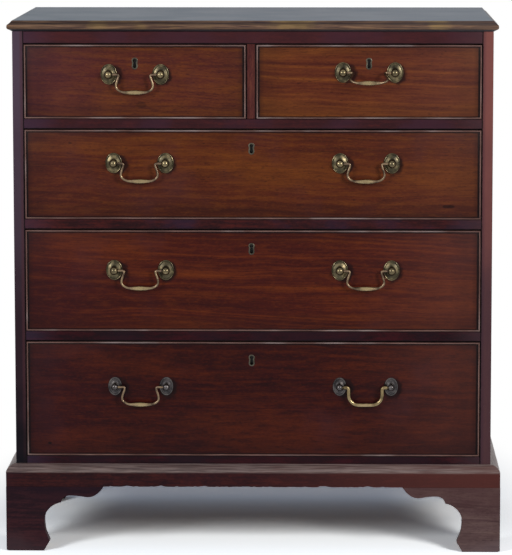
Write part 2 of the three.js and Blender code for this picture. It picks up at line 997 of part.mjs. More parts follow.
// The origin is the middle of the whole chest's footprint, on the floor
chest.updateMatrixWorld(true);
const extent = new THREE.Box3().setFromObject(chest, true);
const middle = extent.getCenter(new THREE.Vector3());
chest.position.set(-middle.x, -middle.y, -extent.min.z);

export default chest;
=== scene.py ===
import json
import math

import bmesh
import bpy
from mathutils import Matrix, Vector, noise

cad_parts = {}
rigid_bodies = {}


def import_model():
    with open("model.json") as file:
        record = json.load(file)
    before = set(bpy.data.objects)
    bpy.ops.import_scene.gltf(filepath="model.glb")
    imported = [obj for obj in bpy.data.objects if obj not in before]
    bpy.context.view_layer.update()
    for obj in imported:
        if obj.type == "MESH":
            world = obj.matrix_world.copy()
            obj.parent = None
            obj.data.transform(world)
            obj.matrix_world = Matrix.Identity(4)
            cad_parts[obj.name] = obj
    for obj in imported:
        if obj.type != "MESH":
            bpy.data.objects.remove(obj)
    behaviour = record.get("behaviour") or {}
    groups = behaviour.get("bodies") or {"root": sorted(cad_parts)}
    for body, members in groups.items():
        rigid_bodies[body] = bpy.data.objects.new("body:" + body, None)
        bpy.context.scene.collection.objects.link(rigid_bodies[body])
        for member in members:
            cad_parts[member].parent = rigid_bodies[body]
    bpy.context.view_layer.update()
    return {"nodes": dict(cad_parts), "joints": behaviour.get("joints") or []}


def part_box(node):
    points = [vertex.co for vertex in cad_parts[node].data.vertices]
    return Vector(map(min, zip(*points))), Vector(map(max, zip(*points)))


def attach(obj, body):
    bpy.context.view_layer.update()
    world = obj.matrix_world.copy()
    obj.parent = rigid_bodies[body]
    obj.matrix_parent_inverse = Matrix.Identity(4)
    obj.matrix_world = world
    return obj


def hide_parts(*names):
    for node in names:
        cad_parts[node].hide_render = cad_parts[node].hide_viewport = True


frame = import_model()

# All lengths below are millimetres times MM
MM = 0.001

# Sizes shared with the model's own drawers, handles and mouldings
FRONT_THICKNESS = 20 * MM
BEAD_WIDTH = 3.5 * MM
BEAD_PROJECTION = 2.5 * MM
BEAD_DEPTH = 6 * MM
LINING_THICKNESS = 11 * MM
BOTTOM_THICKNESS = 7 * MM
BOTTOM_RISE = 7.7 * MM
HANDLE_SPREAD = 99 * MM
PIVOT_STANDOFF = 12 * MM
NECK_RADIUS = 4 * MM
STEM_RADIUS = 2.5 * MM
BAIL_DROP = 34 * MM
BAIL_NECK_RADIUS = 2.3 * MM
BAIL_GRIP_RADIUS = 4.6 * MM
EVEN_BAIL_RADIUS = 3.7 * MM
SHOULDER_LENGTH = 1.5 * MM
GRIP_REACH = 29 * MM
PIN_RADIUS = 2 * MM
PIN_CLEARANCE = 0.35 * MM
PIN_DEPTH = 5 * MM
RAISED_BAIL_ANGLE = 59
KEYHOLE_DROP = 36 * MM
KEYHOLE_HEIGHT = 17.6 * MM
KEYHOLE_HEAD_RADIUS = 3.3 * MM
KEYHOLE_SLOT_WIDTH = 4.6 * MM
KEYHOLE_FLARE = 0.8 * MM
KEYHOLE_STEPS = 14
LOCK_FLANGE_REACH = 9 * MM
LOCK_FLANGE_THICKNESS = 2.5 * MM
TOP_OVERHANG = 10 * MM
PLINTH_PROJECTION = 18.5 * MM
SLOPE_TOP_FLAT = 2 * MM
SLOPE_HEIGHT = 13.5 * MM
BRACKET_LENGTH = 188 * MM
BRACKET_THICKNESS = 22 * MM
PLAIN_BRACKET_LENGTH = 120 * MM
FOOT_BLOCK = 40 * MM
FOOT_BLOCK_LIFT = 4 * MM
FOOT_WEAR = 5 * MM
GLUE_LINE = 0.3 * MM

# Sizes that only this script has
FIT = 0.1 * MM
ESCUTCHEON_RIM = 2.5 * MM
ESCUTCHEON_PROUD = 0.5 * MM
ESCUTCHEON_SHOULDER = 0.2 * MM
ESCUTCHEON_DEPTH = 3 * MM
TAIL_LENGTH = 13 * MM
TAIL_PITCH = 44 * MM
TAIL_SLOPE = 3 * MM
TAIL_HALF_WIDTH = 12 * MM
NUT_HALF_WIDTH = 5.2 * MM
NUT_HEIGHT = 4 * MM
STEM_END = 6 * MM
SCREW_SLOT_LENGTH = 8 * MM
SCREW_SLOT_WIDTH = 0.7 * MM
PLANK_WIDTH = 110 * MM
NAIL_FROM_BOTTOM = 30 * MM
NAIL_FROM_TOP = 14 * MM

# How far apart a moulding's stations lie, how deep wear goes, and how long its waves are
TOP_STEP = 24 * MM
TOP_UNEVENNESS = 0.35 * MM
BASE_STEP = 3 * MM
BASE_UNEVENNESS = 0.3 * MM
UNEVEN_LENGTH = 45 * MM
BEAD_STEP = 18 * MM
BEAD_UNEVENNESS = 0.12 * MM
BEAD_UNEVEN_LENGTH = 30 * MM

# Smoothness of the meshes
CREASE_ANGLE = 38
ROUND_SIDES = 20
BALL_SIDES = 36
BALL_STEPS = 12
ROSE_SIDES = 56
BEAD_NOSE_STEPS = 6
BRACKET_CURVE_STEPS = 9
BAIL_CURVE_STEPS = 5

# Where things are, from the frame
CARCASS_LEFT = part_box("left_side")[0].x
CARCASS_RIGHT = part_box("right_side")[1].x
OPENING_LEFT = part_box("left_side")[1].x
OPENING_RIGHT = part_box("right_side")[0].x
FRONT_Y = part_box("left_side")[0].y
BACK_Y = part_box("left_side")[1].y
TOP_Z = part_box("top_board")[1].z
TOP_UNDER_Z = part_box("top_board")[0].z
FOOT_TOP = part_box("base_moulding")[0].z
SLOPE_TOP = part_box("base_moulding")[1].z


hinges = {joint["child"]: joint for joint in frame["joints"] if joint["type"] == "hinge"}


def bail_pivots(drawer):
    """Where the middle of each bail's pins lies."""
    return [Vector(joint["pos_m"]) for joint in hinges.values() if joint["parent"] == drawer]


def keyhole_centre(drawer):
    """The middle of a keyhole, on the face of the lock."""
    low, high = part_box(f"{drawer}_lock")
    return (low.x + high.x) / 2, low.y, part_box(f"{drawer}_front")[1].z - KEYHOLE_DROP


# Colours and nodes
def linear(code):
    """An sRGB hex colour as linear RGBA."""
    channels = [int(code[i : i + 2], 16) / 255 for i in (1, 3, 5)]
    return (*[c / 12.92 if c <= 0.04045 else ((c + 0.055) / 1.055) ** 2.4 for c in channels], 1.0)


def put(tree, kind, inputs=None, stops=None, **settings):
    """Adds a node: its own settings, its colour stops, and its inputs as values or links."""
    node = tree.nodes.new("ShaderNode" + kind)
    for name, value in settings.items():
        setattr(node, name, value)
    if stops:
        ramp = node.color_ramp
        while len(ramp.elements) < len(stops):
            ramp.elements.new(0.5)
        for element, (place, code) in zip(ramp.elements, stops):
            element.position = place
            element.color = linear(code)
    for socket, source in (inputs or {}).items():
        if isinstance(source, bpy.types.NodeSocket):
            tree.links.new(source, node.inputs[socket])
        else:
            node.inputs[socket].default_value = source
    return node


def number(tree, operation, *values):
    """A sum on numbers."""
    return put(tree, "Math", dict(enumerate(values)), operation=operation).outputs[0]


def vector(tree, operation, *values):
    """A sum on places, which gives a place or, for a length, a number."""
    outputs = put(tree, "VectorMath", dict(enumerate(values)), operation=operation).outputs
    return outputs["Value" if operation == "LENGTH" else "Vector"]


def product(tree, first, *others):
    """Values multiplied together."""
    for value in others:
        first = number(tree, "MULTIPLY", first, value)
    return first


def band(tree, value, low, high, out_low=0.0, out_high=1.0):
    """A value carried smoothly from one range to another."""
    inputs = {"Value": value, "From Min": low, "From Max": high}
    inputs.update({"To Min": out_low, "To Max": out_high})
    return put(tree, "MapRange", inputs, interpolation_type="SMOOTHSTEP").outputs["Result"]


def coloured(tree, value, *stops):
    """A value turned into colours."""
    return put(tree, "ValToRGB", {"Fac": value}, stops).outputs["Color"]


def tinted(tree, amount, base, tint):
    """A colour with some of another laid over it."""
    return put(tree, "Mix", {0: amount, 6: base, 7: tint}, data_type="RGBA").outputs[2]


def laid(tree, colour, tint, *amounts):
    """A colour with a hex colour laid over it, by some amounts multiplied together."""
    return tinted(tree, product(tree, *amounts), colour, linear(tint))


def washed(tree, colour, tint, value, low, high, share):
    """A colour with another laid over it, up to a share, as a value goes from low to high."""
    return laid(tree, colour, tint, band(tree, value, low, high, 0.0, share))


def parts(tree, place):
    """The X, Y and Z of a place."""
    return put(tree, "SeparateXYZ", {0: place}).outputs


def cloud(tree, place, size, detail=3.0, offset=0.0):
    """Soft patches of a size in millimetres."""
    shifted = vector(tree, "ADD", place, (offset,) * 3)
    inputs = {"Vector": shifted, "Scale": 1 / (size * MM), "Detail": detail}
    return put(tree, "TexNoise", inputs).outputs["Fac"]


def along_grain(tree, place, axis, along, across, **inputs):
    """Places counted in a pattern's own size, in millimetres along and across the grain."""
    size = [across * MM] * 3
    size["xyz".index(axis)] = along * MM
    inputs.update(Vector=place, Scale=size)
    return put(tree, "Mapping", inputs, vector_type="TEXTURE").outputs[0]


def stretched(
    tree, place, axis, along, across, detail=2.0, roughness=0.5, offset=0.0, output="Fac"
):
    """Noise drawn out along the grain. Its size is in millimetres along and across."""
    counted = along_grain(tree, place, axis, along, across, Location=(offset,) * 3)
    inputs = {"Vector": counted, "Scale": 1.0, "Detail": detail, "Roughness": roughness}
    return put(tree, "TexNoise", inputs).outputs[output]


def grain_pattern(tree, axis, seed, streak, ring=7.5, tilt=2.5):
    """Where the board shows light and dark wood: growth rings cut at a slant, streaks, and the
    fine lines and open pores. Gives the sockets of coordinates, figure, lines and pores."""
    place = put(tree, "TexCoord").outputs["Object"]
    shifted = vector(tree, "ADD", place, (seed * 1.37, seed * 0.71, seed * 2.11))
    # The fibres wander a few millimetres from a straight line
    drift = stretched(tree, shifted, axis, 300, 110, output="Color")
    centred = vector(tree, "SUBTRACT", drift, (0.5, 0.5, 0.5))
    moved = vector(tree, "MULTIPLY_ADD", centred, (0.028,) * 3, shifted)
    # Growth rings: shells round the heart of the log, outside the board and leaning a little
    lean = [math.radians(tilt)] * 3
    lean["xyz".index(axis)] = 0.0
    heart = [0.09 + 0.02 * seed, 0.06, 0.04 - 0.03 * seed]
    shell = along_grain(tree, moved, axis, 1e6, ring, Location=heart, Rotation=lean)
    inputs = {"W": vector(tree, "LENGTH", shell), "Scale": 1.0, "Detail": 2.0, "Roughness": 0.6}
    rings = put(tree, "TexNoise", inputs, noise_dimensions="1D").outputs["Fac"]
    streaks = stretched(tree, moved, axis, *streak, detail=4.0, roughness=0.55)
    figure = put(tree, "Mix", {0: 0.55, 2: rings, 3: streaks}).outputs[0]
    # Fine lines, drawn 2.4 mm wide, about three times their real width, to show at all
    lines = stretched(tree, moved, axis, 85, 2.4, detail=3.0, roughness=0.6)
    # Open pores, drawn as dashes 1.5 mm wide and 10 mm long, coarser than the real ones
    pores = stretched(tree, moved, axis, 10, 1.5, detail=1.0)
    return place, figure, lines, pores


def beside_lines(tree, split, lines):
    """How much painted shade and dirt darken the wood beside some straight lines. Each line is an
    axis, a place on it, the way from the line to plain wood, how many millimetres the darkening
    reaches, and its strength."""
    clean = [
        band(tree, split[side], at + way * reach * MM * 0.35, at + way * reach * MM, 1 - strength)
        for side, at, way, reach, strength in lines
    ]
    return number(tree, "SUBTRACT", 1.0, product(tree, *clean))


def new_material(name):
    """An empty material and its node tree."""
    material = bpy.data.materials.new(name)
    material.use_nodes = True
    material.node_tree.nodes.clear()
    return material, material.node_tree


def surface(tree, colour, roughness, height, strength, depth, others):
    """The Principled shader and the output. The relief follows a height, with a strength and a
    depth in millimetres."""
    inputs = {"Strength": strength, "Distance": depth * MM, "Height": height}
    relief = put(tree, "Bump", inputs).outputs["Normal"]
    inputs = {"Base Color": colour, "Roughness": roughness, "Normal": relief, **others}
    shader = put(tree, "BsdfPrincipled", inputs)
    put(tree, "OutputMaterial", {"Surface": shader.outputs[0]})


def polished_mahogany(
    name, tones, seed, axis="x", streak=(380, 24), patchy=0.35, mottled=0.3,
    bloom="#4a3a40", bloom_range=(0.55, 0.8), bloom_share=0.6, dirt=(), knots_and_handle_shadows=(), fades=(),
    front_fades=(), haze=0.5, worn_and_lit=None, worn_and_lit_range=(0.25, 1.0), roughness=0.3, marks=0.6,
    dust=0.0,
):
    """Mahogany under an old hand-rubbed polish: red-brown with darker and more orange bands along
    the grain, small flecks, a greyish bloom in patches, and small dark marks.

    The shade-and-dirt lines are where painted shade and black dirt darken the wood, as in
    beside_lines. The ovals of knots and handle shadows are dark wood on a board that has those
    lines: knots, and painted shadows round the handles, as (x, z, half width, half height, share).
    fades turn the wood towards a colour along an axis, as (axis, from, to, colour, share);
    front_fades are the same for a board's front edge alone, and haze is how far in metres they
    wander up and down. The worn-and-lit colours are those of bare wood, and of painted light on the
    beads and the base moulding, where the wear value is high. dust is a thin grey film that shows
    when looked along."""
    material, tree = new_material(name)
    place, figure, lines, pores = grain_pattern(tree, axis, seed, streak)
    dark, body, glow = tones
    colour = coloured(tree, figure, (0.28, dark), (0.5, body), (0.74, glow))
    # Long patches where the polish is thin and the wood shows more orange, short soft mottling,
    # and flecks drawn 2.6 mm wide, which is coarser than the real ones
    thin = stretched(tree, place, axis, 420, 85, detail=3.0, offset=seed)
    mottle = stretched(tree, place, axis, 44, 8, detail=3.0, offset=seed + 1.0)
    flecks = stretched(tree, place, axis, 7, 2.6, detail=1.0, offset=seed + 2.0)
    blooming = cloud(tree, place, 120, detail=5.0, offset=seed + 3.0)
    for tint, value, low, high, share in (
        (glow, thin, 0.5, 0.7, patchy),
        (dark, thin, 0.46, 0.3, patchy * 0.8),
        (glow, mottle, 0.5, 0.7, mottled * 1.3),
        (dark, mottle, 0.5, 0.3, mottled * 1.6),
        (glow, flecks, 0.52, 0.7, mottled * 0.8),
        (dark, flecks, 0.48, 0.3, mottled),
        (dark, lines, 0.58, 0.3, 0.34),
        ("#1c0c0a", pores, 0.4, 0.26, 0.45),
        (bloom, blooming, *bloom_range, bloom_share),
    ):
        colour = washed(tree, colour, tint, value, low, high, share)
    # Only the outer few millimetres of the front carry the painted shade and dirt, the knots and
    # painted handle shadows, and the front fades
    front = band(tree, parts(tree, place)["Y"], FRONT_Y + 9 * MM, FRONT_Y + 3 * MM)
    uneven = vector(tree, "MULTIPLY_ADD", blooming, (0, 0, haze), place)
    level = parts(tree, uneven)
    for changes, share_of in ((fades, 1.0), (front_fades, front)):
        for side, low, high, tint, share in changes:
            middle = haze / 2 if side == "Z" else 0.0
            changed = band(tree, level[side], low + middle, high + middle, 0.0, share)
            colour = laid(tree, colour, tint, changed, share_of)
    # Painted shade and dirt: near black along the given lines, with ragged edges
    if dirt:
        jitter = cloud(tree, place, 9, offset=seed)
        ragged = vector(tree, "MULTIPLY_ADD", jitter, (1.8 * MM,) * 3, place)
        moved = vector(tree, "SUBTRACT", ragged, (0.9 * MM,) * 3)
        amount = beside_lines(tree, parts(tree, moved), dirt)
        colour = laid(tree, colour, "#0c0609", amount, front)
        # Knots, and painted shadows round the handles, as dark ovals
        for x, z, wide, tall, share in knots_and_handle_shadows:
            apart = vector(tree, "SUBTRACT", place, (x, 0, z))
            flat = vector(tree, "MULTIPLY", apart, (1 / wide, 0, 1 / tall))
            edge = number(tree, "MULTIPLY_ADD", jitter, 0.5, vector(tree, "LENGTH", flat))
            amount = band(tree, edge, 1.25, 0.95, 0.0, share)
            colour = laid(tree, colour, "#100709", amount, front)
    if marks:
        # Knocks and small knots, a few millimetres long and a hand's width apart
        cells = along_grain(tree, place, axis, 150, 75)
        spots = put(tree, "TexVoronoi", {"Vector": cells, "Scale": 1.0}).outputs["Distance"]
        colour = washed(tree, colour, "#1a0b0c", spots, 0.034, 0.014, marks)
    # Pale bare colours where the wear value is high: rubbed wood, and on the beads and the base
    # moulding's slope also painted light
    if worn_and_lit:
        wear_and_light = put(tree, "Attribute", attribute_name="wear_and_light").outputs["Fac"]
        rubbed_and_lit = stretched(tree, place, axis, 70, 4, detail=6.0, offset=seed + 7.0)
        amount = product(tree, wear_and_light, band(tree, rubbed_and_lit, 0.38, 0.6, *worn_and_lit_range))
        bare_and_lit = coloured(tree, lines, (0.35, worn_and_lit[0]), (0.65, worn_and_lit[1]))
        if len(worn_and_lit) > 2:
            stretch = cloud(tree, place, 110, offset=seed + 5.0)
            bare_and_lit = washed(tree, bare_and_lit, worn_and_lit[2], stretch, 0.52, 0.66, 0.8)
        colour = tinted(tree, amount, colour, bare_and_lit)
    gloss = number(tree, "ADD", band(tree, blooming, 0.3, 0.75, -0.02, 0.05), roughness)
    # Old polish over dark wood reflects little straight on, so its specular level is low
    shine = {"IOR": 1.5, "Specular IOR Level": 0.08}
    film = {"Sheen Weight": dust, "Sheen Roughness": 0.4, "Sheen Tint": linear("#cce2f6")}
    height = number(tree, "MULTIPLY_ADD", lines, 0.6, pores)
    surface(tree, colour, gloss, height, 0.35, 0.15, {**shine, **film})
    return material


def bare_timber(name, tones, axis, seed, ring=3.0, planks=None):
    """Planed oak or pine that was never polished: dry, dull and browned by two centuries of air,
    with darker handled patches. planks is where the first upright plank starts and how wide each
    is: every plank has its own tone, and a dark joint beside it."""
    material, tree = new_material(name)
    place, figure, lines, pores = grain_pattern(tree, axis, seed, (300, 16), ring, tilt=1.6)
    dark, body, glow = tones
    patches = cloud(tree, place, 140, detail=5.0, offset=seed)
    colour = coloured(tree, figure, (0.38, dark), (0.5, body), (0.62, glow))
    colour = washed(tree, colour, dark, lines, 0.55, 0.3, 0.4)
    colour = washed(tree, colour, "#3a2416", pores, 0.36, 0.24, 0.5)
    colour = washed(tree, colour, "#3a2416", patches, 0.52, 0.75, 0.55)
    if planks:
        start, width = planks
        across = number(tree, "SUBTRACT", parts(tree, place)["X"], start)
        counted = number(tree, "DIVIDE", across, width)
        plank = {"W": number(tree, "FLOOR", counted)}
        tone = put(tree, "TexWhiteNoise", plank, noise_dimensions="1D").outputs["Value"]
        colour = washed(tree, colour, dark, tone, 0.2, 1.0, 0.4)
        beside = number(tree, "PINGPONG", counted, 0.5)
        joint = (1.6 * MM / width, 0.6 * MM / width)
        colour = washed(tree, colour, "#140c07", beside, *joint, 0.95)
    gloss = band(tree, patches, 0.3, 0.7, 0.82, 0.62)
    height = number(tree, "MULTIPLY_ADD", lines, 1.0, pores)
    surface(tree, colour, gloss, height, 0.5, 0.25, {"IOR": 1.5, "Specular IOR Level": 0.3})
    return material


def cast_brass(name, clean, tarnish, crevice, roughness):
    """Lacquered cast brass gone olive brown. The wear value says where fingers rub it yellower,
    from 0.5 to 1, on the roses' rims partly as a painted highlight, and where dirt and painted
    shade darken a hollow, from 0.3 down to 0. The casting's grain is drawn 1.6 mm wide, coarser
    than the real one."""
    material, tree = new_material(name)
    place = put(tree, "TexCoord").outputs["Object"]
    patches = cloud(tree, place, 14)
    fine = cloud(tree, place, 1.6)
    wear_and_light = put(tree, "Attribute", attribute_name="wear_and_light").outputs["Fac"]
    colour = coloured(tree, patches, (0.32, crevice), (0.52, tarnish), (0.92, clean))
    rubbed_and_lit, uneven = band(tree, wear_and_light, 0.5, 1.0), band(tree, patches, 0.3, 0.6, 0.5, 0.9)
    colour = laid(tree, colour, clean, rubbed_and_lit, uneven)
    # Near black in hollows: dirt and painted shade
    hollow_dirt_and_shade, gritty = band(tree, wear_and_light, 0.35, 0.0), band(tree, fine, 0.3, 0.6, 0.75, 1.0)
    colour = laid(tree, colour, "#17130e", hollow_dirt_and_shade, gritty)
    dull = band(tree, fine, 0.3, 0.7, roughness - 0.05, roughness + 0.1)
    gloss = number(tree, "ADD", band(tree, wear_and_light, 0.5, 0.3, 0.0, 0.2), dull)
    surface(tree, colour, gloss, fine, 0.2, 0.06, {"Metallic": 1.0})
    return material


def filed_metal(name, light, dark, axis, roughness=0.42, keyhole=None):
    """Sheet metal left from the file: parallel scratches, drawn 0.5 mm wide to show at all, and a
    few brown stains. Round a keyhole's centre it is black and not metallic."""
    material, tree = new_material(name)
    place = put(tree, "TexCoord").outputs["Object"]
    scratches = stretched(tree, place, axis, 30, 0.5, detail=4.0)
    stains = cloud(tree, place, 14, detail=5.0)
    colour = coloured(tree, scratches, (0.35, dark), (0.6, light))
    colour = washed(tree, colour, "#2e2016", stains, 0.5, 0.7, 0.7)
    metallic = 1.0
    if keyhole:
        level = vector(tree, "MULTIPLY", vector(tree, "SUBTRACT", place, keyhole), (1, 0, 0.6))
        keyhole_black = band(tree, vector(tree, "LENGTH", level), 9 * MM, 7 * MM)
        colour = laid(tree, colour, "#0a0806", keyhole_black)
        metallic = band(tree, keyhole_black, 1.0, 0.0)
    gloss = band(tree, scratches, 0.3, 0.7, roughness + 0.1, roughness - 0.05)
    surface(tree, colour, gloss, scratches, 0.4, 0.05, {"Metallic": metallic})
    return material


# Shapes
def placed(name, data):
    """A new object in the scene."""
    piece = bpy.data.objects.new(name, data)
    bpy.context.scene.collection.objects.link(piece)
    return piece


def shaded(piece):
    """Smooth shading, with creases where faces meet at more than an angle."""
    for face in piece.data.polygons:
        face.use_smooth = True
    piece.data.set_sharp_from_angle(angle=math.radians(CREASE_ANGLE))
    return piece


def from_bmesh(name, shape, wear_and_light=None):
    """An object from a bmesh. The wear value carries bare wood, rubbed metal, and painted light and
    shade, as a function of a place or as a list with a value for each point."""
    bmesh.ops.recalc_face_normals(shape, faces=shape.faces)
    mesh = bpy.data.meshes.new(name)
    shape.to_mesh(mesh)
    shape.free()
    if wear_and_light is not None:
        values = [wear_and_light(point.co) for point in mesh.vertices] if callable(wear_and_light) else wear_and_light
        mesh.attributes.new("wear_and_light", "FLOAT", "POINT").data.foreach_set("value", values)
    return shaded(placed(name, mesh))


def dressed(piece, material, body, slot, *nodes):
    """Gives a piece its material and body, and hides the nodes that it stands for. slot is not
    used.
    """
    piece.data.materials.clear()
    piece.data.materials.append(material)
    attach(piece, body)
    if nodes:
        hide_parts(*nodes)


def softened(piece, width, angle=35):
    """Rounds the sharp edges a little, as sanding and years of use do."""
    bevel = piece.modifiers.new("worn_edges", "BEVEL")
    bevel.width = width
    bevel.segments = 2
    bevel.limit_method = "ANGLE"
    bevel.angle_limit = math.radians(angle)
    bevel.harden_normals = True


def board(name, low, high, rounding):
    """A planed board between two corners with its edges eased."""
    shape = bmesh.new()
    middle = (Vector(low) + Vector(high)) / 2
    size = Matrix.Diagonal((*(Vector(high) - Vector(low)), 1))
    bmesh.ops.create_cube(shape, size=1, matrix=Matrix.Translation(middle) @ size)
    bmesh.ops.bevel(
        shape, geom=shape.edges[:], offset=rounding, segments=3, profile=0.5, affect="EDGES"
    )
    return from_bmesh(name, shape)


def prism(name, outline, place, push):
    """A flat outline, its points placed by a function of two values, pushed along a vector."""
    shape = bmesh.new()
    face = shape.faces.new([shape.verts.new(place(u, v)) for u, v in outline])
    moved = bmesh.ops.extrude_face_region(shape, geom=[face])
    top = [item for item in moved["geom"] if isinstance(item, bmesh.types.BMVert)]
    bmesh.ops.translate(shape, verts=top, vec=Vector(push))
    return from_bmesh(name, shape)


def turned(name, profile, centre, sides=ROUND_SIDES, heighten=1.0, wear_and_light=None):
    """A profile of radius and height turned about a line that points out of the drawer front."""
    shape = bmesh.new()
    rings = []
    for radius, height in profile:
        ring = []
        for i in range(1 if radius == 0 else sides):
            turn = math.tau * i / sides
            x, z = radius * math.cos(turn), radius * math.sin(turn) * heighten
            ring.append(shape.verts.new(centre + Vector((x, -height, z))))
        rings.append(ring)
    for near, far in zip(rings, rings[1:]):
        for i in range(sides):
            a, b = near[i % len(near)], near[(i + 1) % len(near)]
            c, d = far[(i + 1) % len(far)], far[i % len(far)]
            corners = list(dict.fromkeys((a, b, c, d)))
            if len(corners) > 2:
                shape.faces.new(corners)
    return from_bmesh(name, shape, wear_and_light)


def skinned(name, rows, wear_and_light, round_rows=True, ring=False):
    """A skin over rows of points. It goes round each row, with both ends filled in. Without
    round_rows the rows are the edge of a board, whose faces are filled in, and a ring's last row
    meets its first."""
    shape = bmesh.new()
    rows = [[shape.verts.new(point) for point in row] for row in rows]
    first, last = rows[0], rows[-1]
    count = len(first)
    for near, far in zip(rows, rows[1:] + [first] if ring else rows[1:]):
        for i in range(count if round_rows else count - 1):
            j = (i + 1) % count
            shape.faces.new((near[i], near[j], far[j], far[i]))
    if not round_rows:
        shape.faces.new([row[0] for row in rows])
        shape.faces.new([row[-1] for row in reversed(rows)])
        shape.faces.new([*first, *reversed(last)])
    elif not ring:
        shape.faces.new(first)
        shape.faces.new(list(reversed(last)))
    return from_bmesh(name, shape, wear_and_light)


def cut(piece, cutters, operation="DIFFERENCE"):
    """Cuts other shapes out of a piece, or joins them to it, and throws them away."""
    for cutter in cutters:
        modifier = piece.modifiers.new("cut", "BOOLEAN")
        modifier.operation = operation
        modifier.solver = "EXACT"
        modifier.object = cutter
    graph = bpy.context.evaluated_depsgraph_get()
    mesh = bpy.data.meshes.new_from_object(piece.evaluated_get(graph))
    piece.modifiers.clear()
    piece.data = mesh
    for cutter in cutters:
        bpy.data.objects.remove(cutter)
    return shaded(piece)


def wandering(place, size, amount):
    """A small number that changes smoothly from place to place, between minus and plus amount."""
    return amount * noise.noise(Vector(place) / size)


# Where painted shade and dirt darken the wood: along the beads of the drawer fronts, in broad bands
# in from their edges, and on the wood beside the openings
def panel_dirt(low, high):
    return [
        ("X", low.x + BEAD_WIDTH, 1, 4.5, 0.92),
        ("X", high.x - BEAD_WIDTH, -1, 5, 0.95),
        ("Z", low.z + BEAD_WIDTH, 1, 2.2, 0.7),
        ("Z", high.z - BEAD_WIDTH, -1, 3, 0.8),
        ("X", low.x, 1, 70, 0.2),
        ("X", high.x, -1, 70, 0.16),
        ("X", low.x, 1, 18, 0.34),
        ("X", high.x, -1, 18, 0.36),
        ("Z", high.z, -1, 10, 0.25),
        ("Z", low.z, 1, 40, 0.2),
        ("Z", high.z, -1, 30, 0.16),
    ]


# Drawer fronts: red-brown, darker from tier to tier downwards, with painted shadows round the
# handles and three knots. Each row is the tones, seed, patchiness, mottling, and the veil over
# either end
fronts = {
    "lower_drawer": (("#1e0709", "#310d0d", "#52200f"), 2.3, 0.6, 0.32, 0.1, 0.18),
    "middle_drawer": (("#2c0c0c", "#451710", "#6e3213"), 4.1, 0.65, 0.18, 0.12, 0.22),
    "upper_drawer": (("#3a170f", "#522313", "#703c16"), 5.7, 0.5, 0.26, 0.14, 0.12),
    "left_short_drawer": (("#3a1719", "#58281c", "#733f19"), 7.9, 0.4, 0.27, 0.34, 0.0),
    "right_short_drawer": (("#3e1814", "#5c2b19", "#82491f"), 9.4, 0.75, 0.16, 0.06, 0.2),
}
knots = (
    ("upper_drawer", (0.374, 0.668, 13 * MM, 4 * MM, 0.65)),
    ("left_short_drawer", (-0.212, 0.862, 12 * MM, 7 * MM, 0.35)),
    ("lower_drawer", (-0.392, 0.208, 4 * MM, 3 * MM, 0.8)),
)
front_mahogany = {}
for drawer, (tones, seed, patchy, mottled, left_veil, right_veil) in fronts.items():
    knots_and_handle_shadows = [knot for name, knot in knots if name == drawer]
    # Painted shadows of the handles: a dark oval round each post, a little to the right and below
    for pivot in bail_pivots(drawer):
        for end in (-1, 1):
            x = pivot.x + end * HANDLE_SPREAD / 2 + (6 - 3 * end) * MM
            knots_and_handle_shadows.append((x, pivot.z - 3 * MM, 21 * MM, 23 * MM, 0.8))
    front_mahogany[drawer] = polished_mahogany(
        f"polished_mahogany_{drawer}", tones, seed=seed, patchy=patchy, mottled=mottled,
        bloom="#46262a", bloom_share=0.35, dirt=panel_dirt(*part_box(f"{drawer}_front")),
        knots_and_handle_shadows=knots_and_handle_shadows,
        fades=[("X", 0.16, 0.44, "#6c4640", right_veil), ("X", -0.2, -0.44, "#4c2834", left_veil)],
    )

# Rails between the drawers: nearly black, with a violet bloom, and black painted shade and dirt by
# the openings
rail_mahogany = {}
for i, (rail, above) in enumerate(
    (
        ("top_rail", "top_board"),
        ("upper_divider", "left_short_drawer_front"),
        ("middle_divider", "upper_drawer_front"),
        ("lower_divider", "middle_drawer_front"),
        ("bottom_rail", "lower_drawer_front"),
    )
):
    tones, bloom = (
        (("#1b090d", "#280f13", "#4a1c19"), "#241a2e")
        if i < 3
        else (("#14050b", "#1f070e", "#380e14"), "#1a0d16")
    )
    rail_mahogany[rail] = polished_mahogany(
        f"polished_mahogany_{rail}", tones, seed=3.2 + i, streak=(150, 9), patchy=0.8,
        mottled=0.5, bloom=bloom, bloom_range=(0.46, 0.62), roughness=0.34,
        dirt=[
            ("Z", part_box(rail)[0].z, 1, 2.4, 0.95),
            ("Z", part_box(above)[0].z, -1, 1.6, 0.9),
        ],
        fades=[
            ("Z", 0.5, 1.1, "#472428", 0.6),
            ("X", -0.36, -0.45, "#403246", 0.4),
            ("X", 0.36, 0.45, "#4c383e", 0.4),
        ],
    )

# Sides: plain red-brown boards, with front edges greyed on the left and redder on the right, and
# painted shade and dirt beside the openings
side_wood = {"axis": "z", "streak": (400, 9), "mottled": 0.2, "bloom_share": 0.2}
left_side_mahogany = polished_mahogany(
    "polished_mahogany_left_side", ("#2c1512", "#43211a", "#5e3322"), seed=6.6, **side_wood,
    bloom="#3c2a2a", haze=0.3, dirt=[("X", OPENING_LEFT, -1, 2.6, 0.9)],
    front_fades=[
        ("Z", -2, -1, "#211620", 0.88),
        ("Z", 0.35, 0.95, "#524351", 0.8),
        ("X", -0.4455, -0.441, "#4a2a2e", 0.55),
        ("Z", 0.3, 0.19, "#03040b", 0.9),
    ],
)
right_side_mahogany = polished_mahogany(
    "polished_mahogany_right_side", ("#341a14", "#4c281e", "#683c28"), seed=8.3, **side_wood,
    bloom="#4a343b", dirt=[("X", OPENING_RIGHT, 1, 2.6, 0.9)],
    front_fades=[
        ("Z", -2, -1, "#4a3238", 0.8),
        ("Z", 0.4, 0.95, "#824d46", 0.78),
        ("X", 0.446, 0.438, "#33222e", 0.45),
    ],
)
